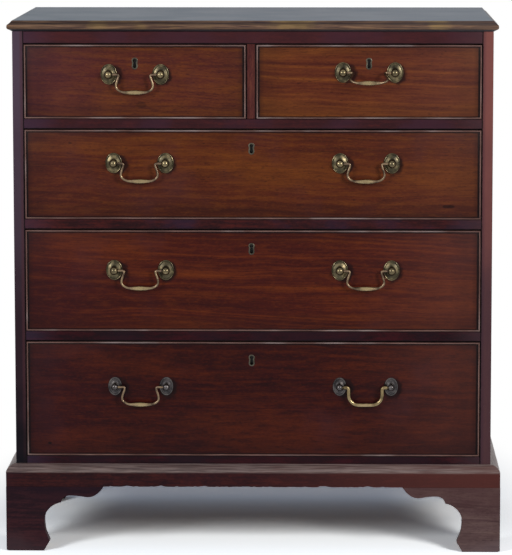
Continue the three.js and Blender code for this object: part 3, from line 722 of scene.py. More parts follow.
# Centre partition: painted shade and dirt along both its edges
partition_low, partition_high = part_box("centre_partition")
stile_mahogany = polished_mahogany(
    "polished_mahogany_partition", ("#381718", "#522826", "#6e3d2c"), axis="z", seed=7.4,
    streak=(300, 7), bloom="#4e2e2b",
    dirt=[("X", partition_low.x, 1, 3, 0.9), ("X", partition_high.x, -1, 3, 0.9)],
)

# Top: dark and dull under old wax, blue-grey with dust when looked along, bare at its edge. Its
# blue-grey bloom is partly old wax and partly a painted reflection, and its fades, darker at the
# left end and greyer at the right, are a painted reflection
top_mahogany = polished_mahogany(
    "waxed_mahogany_top", ("#1c1216", "#2a1c1d", "#3a2826"), seed=1.4, mottled=0.15,
    bloom="#2c3138", bloom_range=(0.4, 0.7), bloom_share=0.4,
    fades=[("X", 0.1, -0.5, "#0e080c", 0.8), ("X", 0.0, 0.5, "#464448", 0.5)],
    worn_and_lit=("#4e3a36", "#84664e", "#94784e"), worn_and_lit_range=(0.55, 1.0), roughness=0.5, dust=0.13,
)

# Base moulding and feet: darker than the fronts, grey on the moulding's upper edge, partly
# rubbed wood and partly painted light where the slope faces up, and the right foot paler than
# the left
moulding_wood = {"seed": 2.8, "worn_and_lit": ("#665856", "#8e7c76"), "roughness": 0.36}
moulding_mahogany = polished_mahogany(
    "polished_mahogany_moulding", ("#1a080e", "#280f13", "#461d1a"), **moulding_wood,
    mottled=0.45, bloom="#2c1820", bloom_share=0.4, worn_and_lit_range=(0.5, 1.0),
    fades=[("X", -0.1, 0.47, "#5e332d", 0.62)],
)
side_moulding_mahogany = polished_mahogany(
    "polished_mahogany_side_moulding", ("#2a1418", "#3a1f20", "#4c2a27"), **moulding_wood,
    axis="y", mottled=0.2, bloom_share=0.3, worn_and_lit_range=(0.5, 0.9),
)
foot_wood = {"streak": (120, 16), "bloom_share": 0.3, "haze": 0.1}
left_foot_mahogany = polished_mahogany(
    "polished_mahogany_left_feet", ("#150911", "#261219", "#432124"), **foot_wood,
    seed=5.1, mottled=0.3, roughness=0.4, bloom="#32222a",
    fades=[("Z", 0.06, 0.12, "#170813", 0.6), ("Z", 0.045, 0.0, "#46373b", 0.5)],
)
right_foot_mahogany = polished_mahogany(
    "polished_mahogany_right_feet", ("#3e2a2b", "#574141", "#6c5650"), **foot_wood,
    seed=6.2, mottled=0.25, roughness=0.42, bloom="#5c4a4c",
    fades=[("Z", 0.06, 0.12, "#4c3231", 0.5), ("Z", 0.045, 0.0, "#64565a", 0.5)],
)

# Cockbeads: dark, with pale grey noses that are rubbed-down wood and a painted highlight
bead_mahogany, upright_bead_mahogany = (
    polished_mahogany(
        name, ("#1e1012", "#2c1a1a", "#3c2622"), axis=axis, seed=4.4, mottled=0.4,
        worn_and_lit=("#674b44", "#80645c", "#968682"), worn_and_lit_range=(0.55, 1.0), roughness=0.38, marks=0.0,
    )
    for name, axis in (("mahogany_cockbead_worn_and_highlit", "x"), ("mahogany_upright_cockbead_worn_and_highlit", "z"))
)

# Linings, back and bottom: yellow-brown oak and pine, the bottom board dark with dirt
back_low, back_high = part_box("back_panel")
plank_count = max(2, round((back_high.x - back_low.x) / PLANK_WIDTH))
plank_width = (back_high.x - back_low.x) / plank_count
oak = bare_timber("quartered_oak_linings", ("#7a5834", "#94703f", "#a8864f"), "y", 3.7)
oak_across = bare_timber("quartered_oak_backs", ("#7a5834", "#92703f", "#a8864f"), "x", 5.2)
pine_tones = ("#76522e", "#9a7042", "#b28a54")
plank_pine = bare_timber(
    "old_pine_planks", pine_tones, "z", 2.2, ring=6.0, planks=(back_low.x, plank_width)
)
pine = bare_timber("old_pine_blocks", pine_tones, "z", 2.2, ring=6.0)
pine_across = bare_timber("old_pine_boards", ("#4e3a28", "#664c34", "#7c6044"), "x", 4.6, ring=6.0)

# Brass: olive brown, yellow where it is handled, nearly black on the lower drawer's roses
aged_brass = cast_brass("aged_cast_brass", "#a3916d", "#494333", "#2c2822", 0.19)
dark_brass = cast_brass("tarnished_cast_brass", "#726c68", "#444142", "#2c2a2b", 0.2)
bright_brass = cast_brass("yellow_cast_brass", "#a89470", "#7c6c4e", "#564a36", 0.2)
handled_brass = cast_brass("handled_cast_brass", "#968562", "#74614f", "#42372f", 0.27)
keyhole_brass = cast_brass("drawn_brass_thread", "#625c4e", "#45423a", "#2c2a25", 0.34)
nut_brass = filed_metal("filed_cast_brass", "#9a8450", "#6e5c38", "x")
bolt_steel = filed_metal("filed_steel", "#8a8680", "#54524e", "z")
nail_iron = filed_metal("rusty_wrought_iron", "#4a3e36", "#2a221e", "x", roughness=0.7)


# Carcass: the nodes whose shape is right stay, with their edges eased
def kept_node(name, material, width):
    """Gives a node its material, joins its split points and flat faces, and rounds its edges."""
    node = frame["nodes"][name]
    node.data.materials.clear()
    node.data.materials.append(material)
    weld = node.modifiers.new("joined_points", "WELD")
    weld.merge_threshold = 0.01 * MM
    flat = node.modifiers.new("flat_faces", "DECIMATE")
    flat.decimate_type = "DISSOLVE"
    flat.angle_limit = math.radians(0.5)
    softened(node, width)


for node_name, material, width in (
    ("left_side", left_side_mahogany, 1.0 * MM),
    ("right_side", right_side_mahogany, 1.0 * MM),
    ("back_panel", plank_pine, 0.5 * MM),
    ("centre_partition", stile_mahogany, 0.8 * MM),
    ("bottom_board", pine_across, 0.5 * MM),
    *((name, material, 0.7 * MM) for name, material in rail_mahogany.items()),
):
    kept_node(node_name, material, width)


# Mouldings that run along the front and back along both ends
def u_path(step):
    """Stations along a moulding: a base point and the way out of it, mitred at the corners."""
    left, right, front, back = CARCASS_LEFT, CARCASS_RIGHT, FRONT_Y, BACK_Y
    corners = [Vector(at) for at in ((left, back), (left, front), (right, front), (right, back))]
    outwards = [Vector(way) for way in ((-1, 0), (0, -1), (1, 0))]
    mitres = [Vector(way) for way in ((-1, 0), (-1, -1), (1, -1), (1, 0))]
    stations = [(corners[0], mitres[0])]
    for start, end, outward, mitre in zip(corners, corners[1:], outwards, mitres[1:]):
        count = max(2, round((end - start).length / step))
        stations += [(start.lerp(end, i / count), outward) for i in range(1, count)]
        stations.append((end, mitre))
    return stations


def broken_away(x):
    """How much of the lower edge is chipped off at a place between the feet."""
    if abs(x) > CARCASS_RIGHT + PLINTH_PROJECTION - BRACKET_LENGTH - 3 * MM:
        return 0.0
    small = wandering((x, 0, 0), 6 * MM, 4 * MM) - 0.7 * MM
    large = wandering((x, 5, 0), 21 * MM, 3 * MM)
    return max(0.0, small) + max(0.0, large)


def moulded(name, profile, stations, unevenness, closed=True, chips=None):
    """A moulding swept along its stations, its outermost parts worn unevenly by use. A closed
    profile makes a bar, an open one the edge of a board. Profile points are out, z and the value of
    wear and painted light."""
    furthest = max(out for out, _, _ in profile)
    lowest = min(z for _, z, _ in profile)
    rows = []
    for base, outward in stations:
        row = []
        for out, z, _ in profile:
            share = max(0.0, out / furthest - 0.5) * 2
            wave = wandering((base.x, base.y, z), UNEVEN_LENGTH, unevenness)
            lost = share * (unevenness + wave)
            place = base + outward * (out - lost)
            chipped = chips(base.x) if chips and z == lowest else 0.0
            row.append((place.x, place.y, z + chipped))
        rows.append(row)
    return skinned(name, rows, [wear_and_light for _, _, wear_and_light in profile] * len(rows), closed)


# Edge of the top: outward as shares of the overhang, down as shares of the thickness, and wear
top_edge_shares = [
    (-0.35, 0.0, 0.0), (-0.08, 0.0, 0.6), (0.0, 0.0, 0.9), (0.04, 0.012, 1.0), (0.08, 0.03, 1.0),
    (0.2, 0.1, 0.7), (0.42, 0.22, 0.25), (0.68, 0.32, 0.4), (0.84, 0.36, 0.9), (0.95, 0.42, 1.0),
    (1.0, 0.52, 1.0), (1.0, 0.6, 1.0), (0.96, 0.7, 1.0), (0.88, 0.77, 0.8), (0.7, 0.82, 0.4),
    (0.48, 0.87, 0.0), (0.26, 0.93, 0.0), (0.14, 0.97, 0.0), (0.1, 1.0, 0.0),
]
top_thickness = TOP_Z - TOP_UNDER_Z
top_profile = [
    (out * TOP_OVERHANG, TOP_Z - down * top_thickness, wear_and_light) for out, down, wear_and_light in top_edge_shares
]
top = moulded("moulded_top", top_profile, u_path(TOP_STEP), TOP_UNEVENNESS, closed=False)
dressed(top, top_mahogany, "carcass", "top_mahogany", "top_board")

# Base moulding: a sloped, slightly hollow top over a flat face
# The third column is the wear value: high over the whole sloped top, partly rubbed wood and partly
# painted light where the slope faces up
slope_shares = [
    (0.0, 0.0, 1.0), (0.12, 0.02, 1.0), (0.3, 0.1, 0.75), (0.5, 0.22, 0.65),
    (0.7, 0.42, 0.7), (0.85, 0.63, 0.85), (0.95, 0.82, 0.95), (1.0, 0.97, 0.9),
]
slope_run = PLINTH_PROJECTION - SLOPE_TOP_FLAT
plinth_profile = [
    (GLUE_LINE, SLOPE_TOP, 0.1),
    *(
        (SLOPE_TOP_FLAT + out * slope_run, SLOPE_TOP - down * SLOPE_HEIGHT, wear_and_light)
        for out, down, wear_and_light in slope_shares
    ),
    (PLINTH_PROJECTION, SLOPE_TOP - SLOPE_HEIGHT - 1.2 * MM, 0.5),
    (PLINTH_PROJECTION, SLOPE_TOP - SLOPE_HEIGHT - 3 * MM, 0.0),
    (PLINTH_PROJECTION, FOOT_TOP, 0.0),
    (GLUE_LINE, FOOT_TOP, 0.0),
]
base_stations = u_path(BASE_STEP)
left_corner, right_corner = (
    next(i for i, (_, way) in enumerate(base_stations) if way == Vector((side, -1)))
    for side in (-1, 1)
)
for name, first, last, material, chips in (
    ("base_moulding_left", 0, left_corner, side_moulding_mahogany, None),
    ("base_moulding_front", left_corner, right_corner, moulding_mahogany, broken_away),
    ("base_moulding_right", right_corner, len(base_stations), side_moulding_mahogany, None),
):
    stations = base_stations[first : last + 1]
    piece = moulded(name, plinth_profile, stations, BASE_UNEVENNESS, chips=chips)
    dressed(piece, material, "carcass", "carcass_mahogany", "base_moulding")

# Bracket feet. Each row of the inner edge is a control point and an end point of a quadratic
# curve: along as shares of the bracket's length, up as shares of the foot's height
bracket_curve_shares = [
    (0.416, 0.08, 0.445, 0.152), (0.422, 0.225, 0.404, 0.3), (0.391, 0.38, 0.391, 0.47),
    (0.391, 0.56, 0.425, 0.628), (0.462, 0.705, 0.53, 0.742), (0.548, 0.75, 0.563, 0.753),
    (0.578, 0.855, 0.65, 0.862), (0.72, 0.864, 0.8, 0.84), (0.86, 0.824, 0.905, 0.856),
    (0.962, 0.905, 1, 1),
]
TOE_SHARE = 0.385
PLAIN_TOE_SHARE = 0.6
foot_height = FOOT_TOP - GLUE_LINE


def bracket_outline():
    """A shaped bracket standing at 0 and reaching along +u, from the floor up."""
    start = Vector((TOE_SHARE * BRACKET_LENGTH, 0))
    worn_heel = [(0, FOOT_WEAR), (FOOT_WEAR * 0.3, FOOT_WEAR * 0.3), (FOOT_WEAR, 0)]
    points = [*(Vector(point) for point in worn_heel), start]
    for control_u, control_v, end_u, end_v in bracket_curve_shares:
        control = Vector((control_u * BRACKET_LENGTH, control_v * foot_height))
        end = Vector((end_u * BRACKET_LENGTH, end_v * foot_height))
        for i in range(1, BRACKET_CURVE_STEPS + 1):
            t = i / BRACKET_CURVE_STEPS
            points.append(start * (1 - t) ** 2 + control * 2 * t * (1 - t) + end * t**2)
        start = end
    return [*points, Vector((0, foot_height))]


def plain_outline():
    """The sawn bracket at the back, with a straight slope."""
    toe = PLAIN_TOE_SHARE * PLAIN_BRACKET_LENGTH
    return [(0, 0), (toe, 0), (PLAIN_BRACKET_LENGTH, foot_height), (0, foot_height)]


def mitred(piece, corner, normal):
    """Cuts a piece on the upright plane of a mitre and keeps the side that the normal leaves."""
    shape = bmesh.new()
    shape.from_mesh(piece.data)
    everything = shape.verts[:] + shape.edges[:] + shape.faces[:]
    cutting = bmesh.ops.bisect_plane(
        shape, geom=everything, plane_co=corner, plane_no=normal, clear_outer=True
    )
    rim = [item for item in cutting["geom_cut"] if isinstance(item, bmesh.types.BMEdge)]
    bmesh.ops.holes_fill(shape, edges=rim)
    bmesh.ops.recalc_face_normals(shape, faces=shape.faces)
    shape.to_mesh(piece.data)
    shape.free()
    shaded(piece)


def bracket_foot(node_name, wood, corner, side, inward_y, face_outline):
    """Two brackets mitred at the corner and the glue block behind them."""
    face = prism(
        f"{node_name}_face_bracket",
        face_outline,
        lambda u, v: Vector((corner.x - side * u, corner.y, v)),
        (0, inward_y * BRACKET_THICKNESS, 0),
    )
    flank = prism(
        f"{node_name}_side_bracket",
        bracket_outline(),
        lambda u, v: Vector((corner.x, corner.y + inward_y * u, v)),
        (-side * BRACKET_THICKNESS, 0, 0),
    )
    gap = Vector((0, inward_y * FIT / 2, 0))
    mitred(face, corner - gap, Vector((side, inward_y, 0)))
    mitred(flank, corner + gap, Vector((-side, -inward_y, 0)))
    (low_x, high_x), (low_y, high_y) = (
        sorted(start + way * (BRACKET_THICKNESS + deep) for deep in (FIT, FOOT_BLOCK))
        for start, way in ((corner.x, -side), (corner.y, inward_y))
    )
    block = board(
        f"{node_name}_glue_block",
        (low_x, low_y, FOOT_BLOCK_LIFT),
        (high_x, high_y, foot_height - FIT),
        1.5 * MM,
    )
    for piece in (face, flank):
        softened(piece, 0.9 * MM, angle=45)
        dressed(piece, wood, "carcass", "foot_mahogany", node_name)
    dressed(block, pine, "carcass", "foot_mahogany", node_name)


for side, side_word, edge_x, wood in (
    (-1, "left", CARCASS_LEFT, left_foot_mahogany),
    (1, "right", CARCASS_RIGHT, right_foot_mahogany),
):
    outer_x = edge_x + side * PLINTH_PROJECTION
    front_corner = Vector((outer_x, FRONT_Y - PLINTH_PROJECTION, 0))
    back_corner = Vector((outer_x, BACK_Y, 0))
    bracket_foot(f"foot_front_{side_word}", wood, front_corner, side, 1, bracket_outline())
    bracket_foot(f"foot_back_{side_word}", wood, back_corner, side, -1, plain_outline())


# Keyhole: a round head over a slot that flares a little, about its own centre
def keyhole_outline(grow):
    head = KEYHOLE_HEAD_RADIUS + grow
    slot = KEYHOLE_SLOT_WIDTH / 2 + grow
    foot = slot + KEYHOLE_FLARE
    head_z = KEYHOLE_HEIGHT / 2 - KEYHOLE_HEAD_RADIUS
    foot_z = -KEYHOLE_HEIGHT / 2 + foot - grow
    waist = math.acos(slot / head)
    points = []
    for radius, middle_z, first, sweep in (
        (head, head_z, -waist, math.pi + 2 * waist),
        (foot, foot_z, math.pi, math.pi),
    ):
        for i in range(KEYHOLE_STEPS + 1):
            turn = first + sweep * i / KEYHOLE_STEPS
            points.append((radius * math.cos(turn), middle_z + radius * math.sin(turn)))
    return points


def escutcheon(name, centre_x, centre_z):
    """A brass thread let into the wood round a keyhole, with a softly rounded face."""
    rows = [
        [
            (centre_x + x, FRONT_Y - proud, centre_z + z)
            for x, z in keyhole_outline(share * ESCUTCHEON_RIM)
        ]
        for share, proud in (
            (0, -ESCUTCHEON_DEPTH),
            (0, ESCUTCHEON_SHOULDER),
            (0.3, ESCUTCHEON_PROUD),
            (0.7, ESCUTCHEON_PROUD),
            (1, ESCUTCHEON_SHOULDER),
            (1, -ESCUTCHEON_DEPTH),
        )
    ]
    # The walls of the hole are dark with dirt and painted shade
    wear_and_light = [value for value in (0.0, 0.0, 0.6, 0.6, 0.6, 0.6) for _ in rows[0]]
    return skinned(name, rows, wear_and_light, ring=True)


# Cockbead: a strip with a half-round nose round each drawer front, mitred at the corners
nose_start = -BEAD_PROJECTION + BEAD_WIDTH / 2
bead_section = [(0.0, BEAD_DEPTH), (0.0, nose_start)]
for step in range(1, BEAD_NOSE_STEPS):
    turn = math.pi * step / BEAD_NOSE_STEPS
    deep = -BEAD_PROJECTION + BEAD_WIDTH / 2 * (1 - math.sin(turn))
    bead_section.append((BEAD_WIDTH / 2 * (1 - math.cos(turn)), deep))
bead_section += [(BEAD_WIDTH, nose_start), (BEAD_WIDTH, BEAD_DEPTH)]


def bead_strip(name, start, end, inward):
    """One strip from corner to corner. inward points from the drawer's edge to its middle."""
    along = (end - start).normalized()
    length = (end - start).length
    count = max(2, round(length / BEAD_STEP))
    rows = []
    for i in range(count + 1):
        row = []
        for across, deep in bead_section:
            mitre = across + (length - 2 * across) * (i / count)
            position = start + along * mitre + inward * across
            wave = wandering(position, BEAD_UNEVEN_LENGTH, BEAD_UNEVENNESS)
            lost = BEAD_UNEVENNESS + wave if deep < 0 else 0.0
            row.append((position.x, FRONT_Y + deep + lost, position.z))
        rows.append(row)
    # The foremost strip of the nose is pale: rubbed wood and a painted highlight
    nose = FRONT_Y - BEAD_PROJECTION + BEAD_WIDTH * 0.22
    return skinned(name, rows, lambda co: 1.0 if co.y < nose else 0.12)


def bead_frame(drawer, low, high):
    """The four strips of a drawer front between the lowest and highest corners of its edge."""
    for word, wood, start, end, inward in (
        ("bottom", bead_mahogany, (low.x, low.z), (high.x, low.z), (0, 0, 1)),
        ("right", upright_bead_mahogany, (high.x, low.z), (high.x, high.z), (-1, 0, 0)),
        ("top", bead_mahogany, (high.x, high.z), (low.x, high.z), (0, 0, -1)),
        ("left", upright_bead_mahogany, (low.x, high.z), (low.x, low.z), (1, 0, 0)),
    ):
        ends = (Vector((x, 0, z)) for x, z in (start, end))
        strip = bead_strip(f"{drawer}_cockbead_{word}", *ends, Vector(inward))
        dressed(strip, wood, drawer, "front_mahogany")


# Dovetails that join a drawer's linings to its front
def tail_places(low_z, high_z):
    count = max(2, round((high_z - low_z) / TAIL_PITCH))
    return [low_z + (high_z - low_z) * (i + 0.5) / count for i in range(count)]


def tail_outline(middle_z, grow=0.0):
    """One tail in Y and Z, from the back of the front into its thickness."""
    back = FRONT_Y + FRONT_THICKNESS + GLUE_LINE
    front = FRONT_Y + FRONT_THICKNESS - TAIL_LENGTH - grow
    narrow = TAIL_HALF_WIDTH - TAIL_SLOPE + grow
    wide = TAIL_HALF_WIDTH + grow
    return [
        (back, middle_z - narrow),
        (front, middle_z - wide),
        (front, middle_z + wide),
        (back, middle_z + narrow),
    ]


# Drawer front: a board with its keyhole, lock seat, stem holes and dovetail sockets
def drawer_front(drawer):
    low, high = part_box(f"{drawer}_front")
    lining_low, lining_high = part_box(f"{drawer}_box")
    lock_low, lock_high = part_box(f"{drawer}_lock")
    lock_x, _, keyhole_z = keyhole_centre(drawer)
    front_back = FRONT_Y + FRONT_THICKNESS
    inset = BEAD_WIDTH + FIT / 2
    behind = board(
        f"{drawer}_mahogany_front",
        (low.x + FIT, FRONT_Y + BEAD_DEPTH + FIT, low.z + FIT),
        (high.x - FIT, front_back, high.z - FIT),
        0.4 * MM,
    )
    face = board(
        "face",
        (low.x + inset, FRONT_Y, low.z + inset),
        (high.x - inset, FRONT_Y + BEAD_DEPTH + 1 * MM, high.z - inset),
        FIT,
    )
    cut(behind, [face], "UNION")
    # Every cutter stands a little proud of the wood that it cuts
    beyond = 1 * MM
    cutters = [
        prism(
            name,
            keyhole_outline(grow + FIT / 2),
            lambda u, v: Vector((lock_x + u, FRONT_Y - beyond, keyhole_z + v)),
            (0, depth, 0),
        )
        for name, grow, depth in (
            ("seat", ESCUTCHEON_RIM, beyond + ESCUTCHEON_DEPTH + FIT),
            ("through", 0.0, FRONT_THICKNESS + 2 * beyond),
        )
    ]
    for name, narrower, seat_z in (
        ("lock_seat", LOCK_FLANGE_REACH, lock_low.z),
        ("flange_seat", 0.0, lock_high.z - LOCK_FLANGE_THICKNESS),
    ):
        seat_low = (lock_low.x + narrower - GLUE_LINE, lock_low.y - GLUE_LINE, seat_z - GLUE_LINE)
        seat_high = (lock_high.x - narrower + GLUE_LINE, front_back + 5 * MM, high.z + 5 * MM)
        cutters.append(board(name, seat_low, seat_high, 0.2 * MM))
    drill = STEM_RADIUS + 0.4 * MM
    drill_end = -FRONT_THICKNESS - beyond
    hole = [(0, beyond), (drill, beyond), (drill, drill_end), (0, drill_end)]
    for pivot in bail_pivots(drawer):
        for end in (-1, 1):
            place = Vector((pivot.x + end * HANDLE_SPREAD / 2, FRONT_Y, pivot.z))
            cutters.append(turned("stem_hole", hole, place))
    reach = LINING_THICKNESS + beyond + 0.15 * MM
    for start, way in ((low.x - beyond, 1), (high.x + beyond, -1)):
        for middle_z in tail_places(lining_low.z, lining_high.z):
            outline, push = tail_outline(middle_z, FIT), (way * reach, 0, 0)
            cutters.append(prism("socket", outline, lambda u, v: Vector((start, u, v)), push))
    cut(behind, cutters)
    slot_name = "lower_front_mahogany" if drawer == "lower_drawer" else "front_mahogany"
    dressed(behind, front_mahogany[drawer], drawer, slot_name, f"{drawer}_front")
    bead_frame(drawer, low, high)
    ring = escutcheon(f"{drawer}_escutcheon", lock_x, keyhole_z)
    dressed(ring, keyhole_brass, drawer, "aged_brass")


# Drawer linings: sides with their dovetails, a back and a bottom
def drawer_linings(drawer):
    low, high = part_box(f"{drawer}_box")
    bottom_low = low.z + BOTTOM_RISE
    bottom_high = bottom_low + BOTTOM_THICKNESS
    front_y = FRONT_Y + FRONT_THICKNESS + GLUE_LINE
    left_x, right_x = low.x + LINING_THICKNESS, high.x - LINING_THICKNESS
    outline = [(high.y, low.z), (high.y, high.z), (front_y, high.z)]
    for middle_z in reversed(tail_places(low.z, high.z)):
        outline += reversed(tail_outline(middle_z))
    outline.append((front_y, low.z))
    for word, start, way in (("left", low.x, 1), ("right", high.x, -1)):
        lining = prism(
            f"{drawer}_{word}_lining",
            outline,
            lambda u, v: Vector((start, u, v)),
            (way * LINING_THICKNESS, 0, 0),
        )
        softened(lining, 0.5 * MM, angle=60)
        dressed(lining, oak, drawer, "drawer_oak", f"{drawer}_box")
    for word, lowest, highest, rounding in (
        (
            "back",
            (left_x, high.y - LINING_THICKNESS, bottom_high),
            (right_x, high.y - 0.2 * MM, high.z - 0.3 * MM),
            0.8 * MM,
        ),
        (
            "bottom",
            (left_x, front_y, bottom_low),
            (right_x, high.y - 0.4 * MM, bottom_high),
            0.5 * MM,
        ),
    ):
        panel = board(f"{drawer}_{word}", lowest, highest, rounding)
        dressed(panel, oak_across, drawer, "drawer_oak", f"{drawer}_box")


# Screws of a lock: places from the middle of its upper edge, and radius and height of the head
screw_places = ((-24, -8), (24, -8), (-24, -46), (24, -46))
screw_profile = ((0, -0.2), (2.9, -0.2), (2.9, 0.1), (2.5, 0.45), (1.4, 0.62), (0, 0.68))


def lock_screws(drawer):
    """Locks and bolts keep their nodes; the lock gets its slotted screws."""
    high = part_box(f"{drawer}_lock")[1]
    middle_x = keyhole_centre(drawer)[0]
    profile = [(r * MM, -h * MM) for r, h in screw_profile]
    for i, (dx, dz) in enumerate(screw_places):
        centre = Vector((middle_x + dx * MM, high.y, high.z + dz * MM))
        screw = turned(f"{drawer}_lock_screw_{i + 1}", profile, centre)
        long, wide = SCREW_SLOT_LENGTH / 2, SCREW_SLOT_WIDTH / 2
        slot_low = (centre.x - long, centre.y + 0.25 * MM, centre.z - wide)
        slot_high = (centre.x + long, centre.y + 2 * MM, centre.z + wide)
        cut(screw, [board("screw_slot", slot_low, slot_high, 0.05 * MM)])
        dressed(screw, nail_iron, drawer, "bolt_steel")


# Handles. Outlines of the roses go from the rim inwards: radius as shares of half the width,
# height as shares of the dome
oval_rose = {
    "width": 31 * MM,
    "height": 39 * MM,
    "dome": 4.6 * MM,
    "ball": 8 * MM,
    "shares": [
        (1.0, 0.0), (1.0, 0.22), (0.985, 0.34), (0.95, 0.4), (0.91, 0.36), (0.885, 0.26),
        (0.85, 0.25), (0.76, 0.36), (0.64, 0.52), (0.52, 0.66), (0.46, 0.78), (0.4, 1.0),
    ],
}
stepped_rose = {
    "width": 26 * MM,
    "height": 35.5 * MM,
    "dome": 4 * MM,
    "ball": 6.5 * MM,
    "shares": [
        (1.0, 0.0), (1.0, 0.26), (0.97, 0.38), (0.9, 0.4), (0.83, 0.36), (0.8, 0.22),
        (0.72, 0.2), (0.64, 0.26), (0.6, 0.5), (0.55, 0.6), (0.44, 0.68), (0.36, 0.84),
        (0.32, 1.0),
    ],
}


def rose(name, style, centre):
    """The oval plate of a post, rubbed on its rim and its dome, the rim partly as a painted
    highlight, and dark in the hollow between with dirt and painted shade.
    """
    profile = [(0.0, GLUE_LINE)]
    profile += [(r * style["width"] / 2, GLUE_LINE + h * style["dome"]) for r, h in style["shares"]]
    profile.append((0.0, GLUE_LINE + style["dome"] * 1.02))
    rim = style["width"] / 2 * 0.9
    narrow = style["width"] / style["height"]

    # Rim rubbed, partly a painted highlight; darker towards the post, and darker at the plate's
    # outer edge against the wood, with dirt and painted shade
    def wear_and_light(co):
        across = Vector((co.x - centre.x, (co.z - centre.z) * narrow)).length
        if across > rim:
            return 0.68 if across < rim * 1.09 else 0.2
        return 0.42 * min(1.0, max(0.0, across / rim - 0.35) * 2.5)

    return turned(name, profile, centre, ROSE_SIDES, style["height"] / style["width"], wear_and_light)


def post(name, style, centre, inward):
    """Stem, neck and ball, with the hole for the bail's pin on its inner side."""
    neck_start = GLUE_LINE + style["dome"] * 0.9
    ball = style["ball"]
    join = math.acos(NECK_RADIUS / ball)
    stem_end = -FRONT_THICKNESS - GLUE_LINE - STEM_END
    profile = [
        (0.0, stem_end),
        (STEM_RADIUS * 0.8, stem_end),
        (STEM_RADIUS, stem_end + 0.6 * MM),
        (STEM_RADIUS, neck_start - 0.2 * MM),
        (NECK_RADIUS, neck_start - 0.1 * MM),
    ]
    for i in range(BALL_STEPS + 1):
        turn = -join + (math.pi / 2 + join) * i / BALL_STEPS
        radius = 0.0 if i == BALL_STEPS else ball * math.cos(turn)
        profile.append((radius, PIVOT_STANDOFF + ball * math.sin(turn)))
    # The back of the ball and the neck get a low wear value: dark with dirt and painted shade in
    # the hollow by the rose; the front of the ball is lightly rubbed
    behind = centre.y - PIVOT_STANDOFF + ball * 0.6
    piece = turned(
        name,
        profile,
        centre,
        BALL_SIDES,
        wear_and_light=lambda co: max(0.0, min(0.66, (behind - co.y) / (ball * 1.8))),
    )
    hole_radius = PIN_RADIUS + PIN_CLEARANCE
    hole_end = ball - PIN_DEPTH - GLUE_LINE
    turns = [math.tau * i / ROUND_SIDES for i in range(ROUND_SIDES)]
    hole = prism(
        "pin_hole",
        [(hole_radius * math.cos(turn), hole_radius * math.sin(turn)) for turn in turns],
        lambda u, v: centre + Vector((inward * hole_end, u - PIVOT_STANDOFF, v)),
        (inward * (ball + 2 * MM - hole_end), 0, 0),
    )
    return cut(piece, [hole])


def square_nut(name, centre):
    """The nut that holds a post, behind the drawer front."""
    back = centre.y + FRONT_THICKNESS + GLUE_LINE
    half = NUT_HALF_WIDTH
    low = (centre.x - half, back, centre.z - half)
    high = (centre.x + half, back + NUT_HEIGHT, centre.z + half)
    profile = [(0, 1 * MM), (STEM_RADIUS, 1 * MM), (STEM_RADIUS, -12 * MM), (0, -12 * MM)]
    hole = turned("nut_hole", profile, Vector((centre.x, back, centre.z)))
    return cut(board(name, low, high, 0.5 * MM), [hole])


# Half of a bail from the ball's centre: inward as shares of half the spread, down as shares of
# the drop
swan_neck_shares = [
    (0.12, 0), (0.2, 0), (0.34, 0), (0.385, 0.05), (0.375, 0.17), (0.335, 0.34), (0.303, 0.5),
    (0.29, 0.64), (0.315, 0.77), (0.4, 0.89), (0.54, 0.975), (0.76, 1), (1, 1),
]
plain_neck_shares = [
    (0.12, 0), (0.14, 0), (0.18, 0), (0.3, 0.01), (0.345, 0.09), (0.352, 0.25), (0.352, 0.45),
    (0.375, 0.62), (0.44, 0.79), (0.54, 0.92), (0.66, 0.985), (0.8, 1), (1, 1),
]


def neck_thickness(x, ball, thickness):
    """The pins fit their holes, and the bar thickens at a shoulder outside the ball."""
    shoulder = HANDLE_SPREAD / 2 - abs(x) - ball - PIN_CLEARANCE
    share = max(0.0, min(1.0, shoulder / SHOULDER_LENGTH))
    return PIN_RADIUS + share * (thickness - PIN_RADIUS)


def swelling_bar(x, z, ball):
    """Thickness of the usual bail: slim necks and a swollen grip."""
    neck = neck_thickness(x, ball, BAIL_NECK_RADIUS)
    swell = (1 + math.cos(math.pi * min(1.0, abs(x) / GRIP_REACH))) / 2
    low = max(0.0, -z / BAIL_DROP - 0.5) * 2
    return neck + swell * min(1.0, low) * (BAIL_GRIP_RADIUS - neck)


def even_bar(x, z, ball):
    """Thickness of the lower right bail, which is a plain bar."""
    return neck_thickness(x, ball, EVEN_BAIL_RADIUS)


def centripetal(points, steps):
    """Points on a smooth line through the given ones, with no loops where they crowd together."""
    ends = [2 * points[0] - points[1], *points, 2 * points[-1] - points[-2]]
    line = []
    for i in range(1, len(ends) - 2):
        near = ends[i - 1 : i + 3]
        knots = [0.0]
        for a, b in zip(near, near[1:]):
            knots.append(knots[-1] + math.sqrt((b - a).length))
        for j in range(steps):
            t = knots[1] + (knots[2] - knots[1]) * j / steps
            layer = near
            for spans in (((0, 1), (1, 2), (2, 3)), ((0, 2), (1, 3)), ((1, 2),)):
                layer = [
                    (a * (knots[far] - t) + b * (t - knots[close])) / (knots[far] - knots[close])
                    for a, b, (close, far) in zip(layer, layer[1:], spans)
                ]
            line.append(layer[0])
    return [*line, points[-1]]


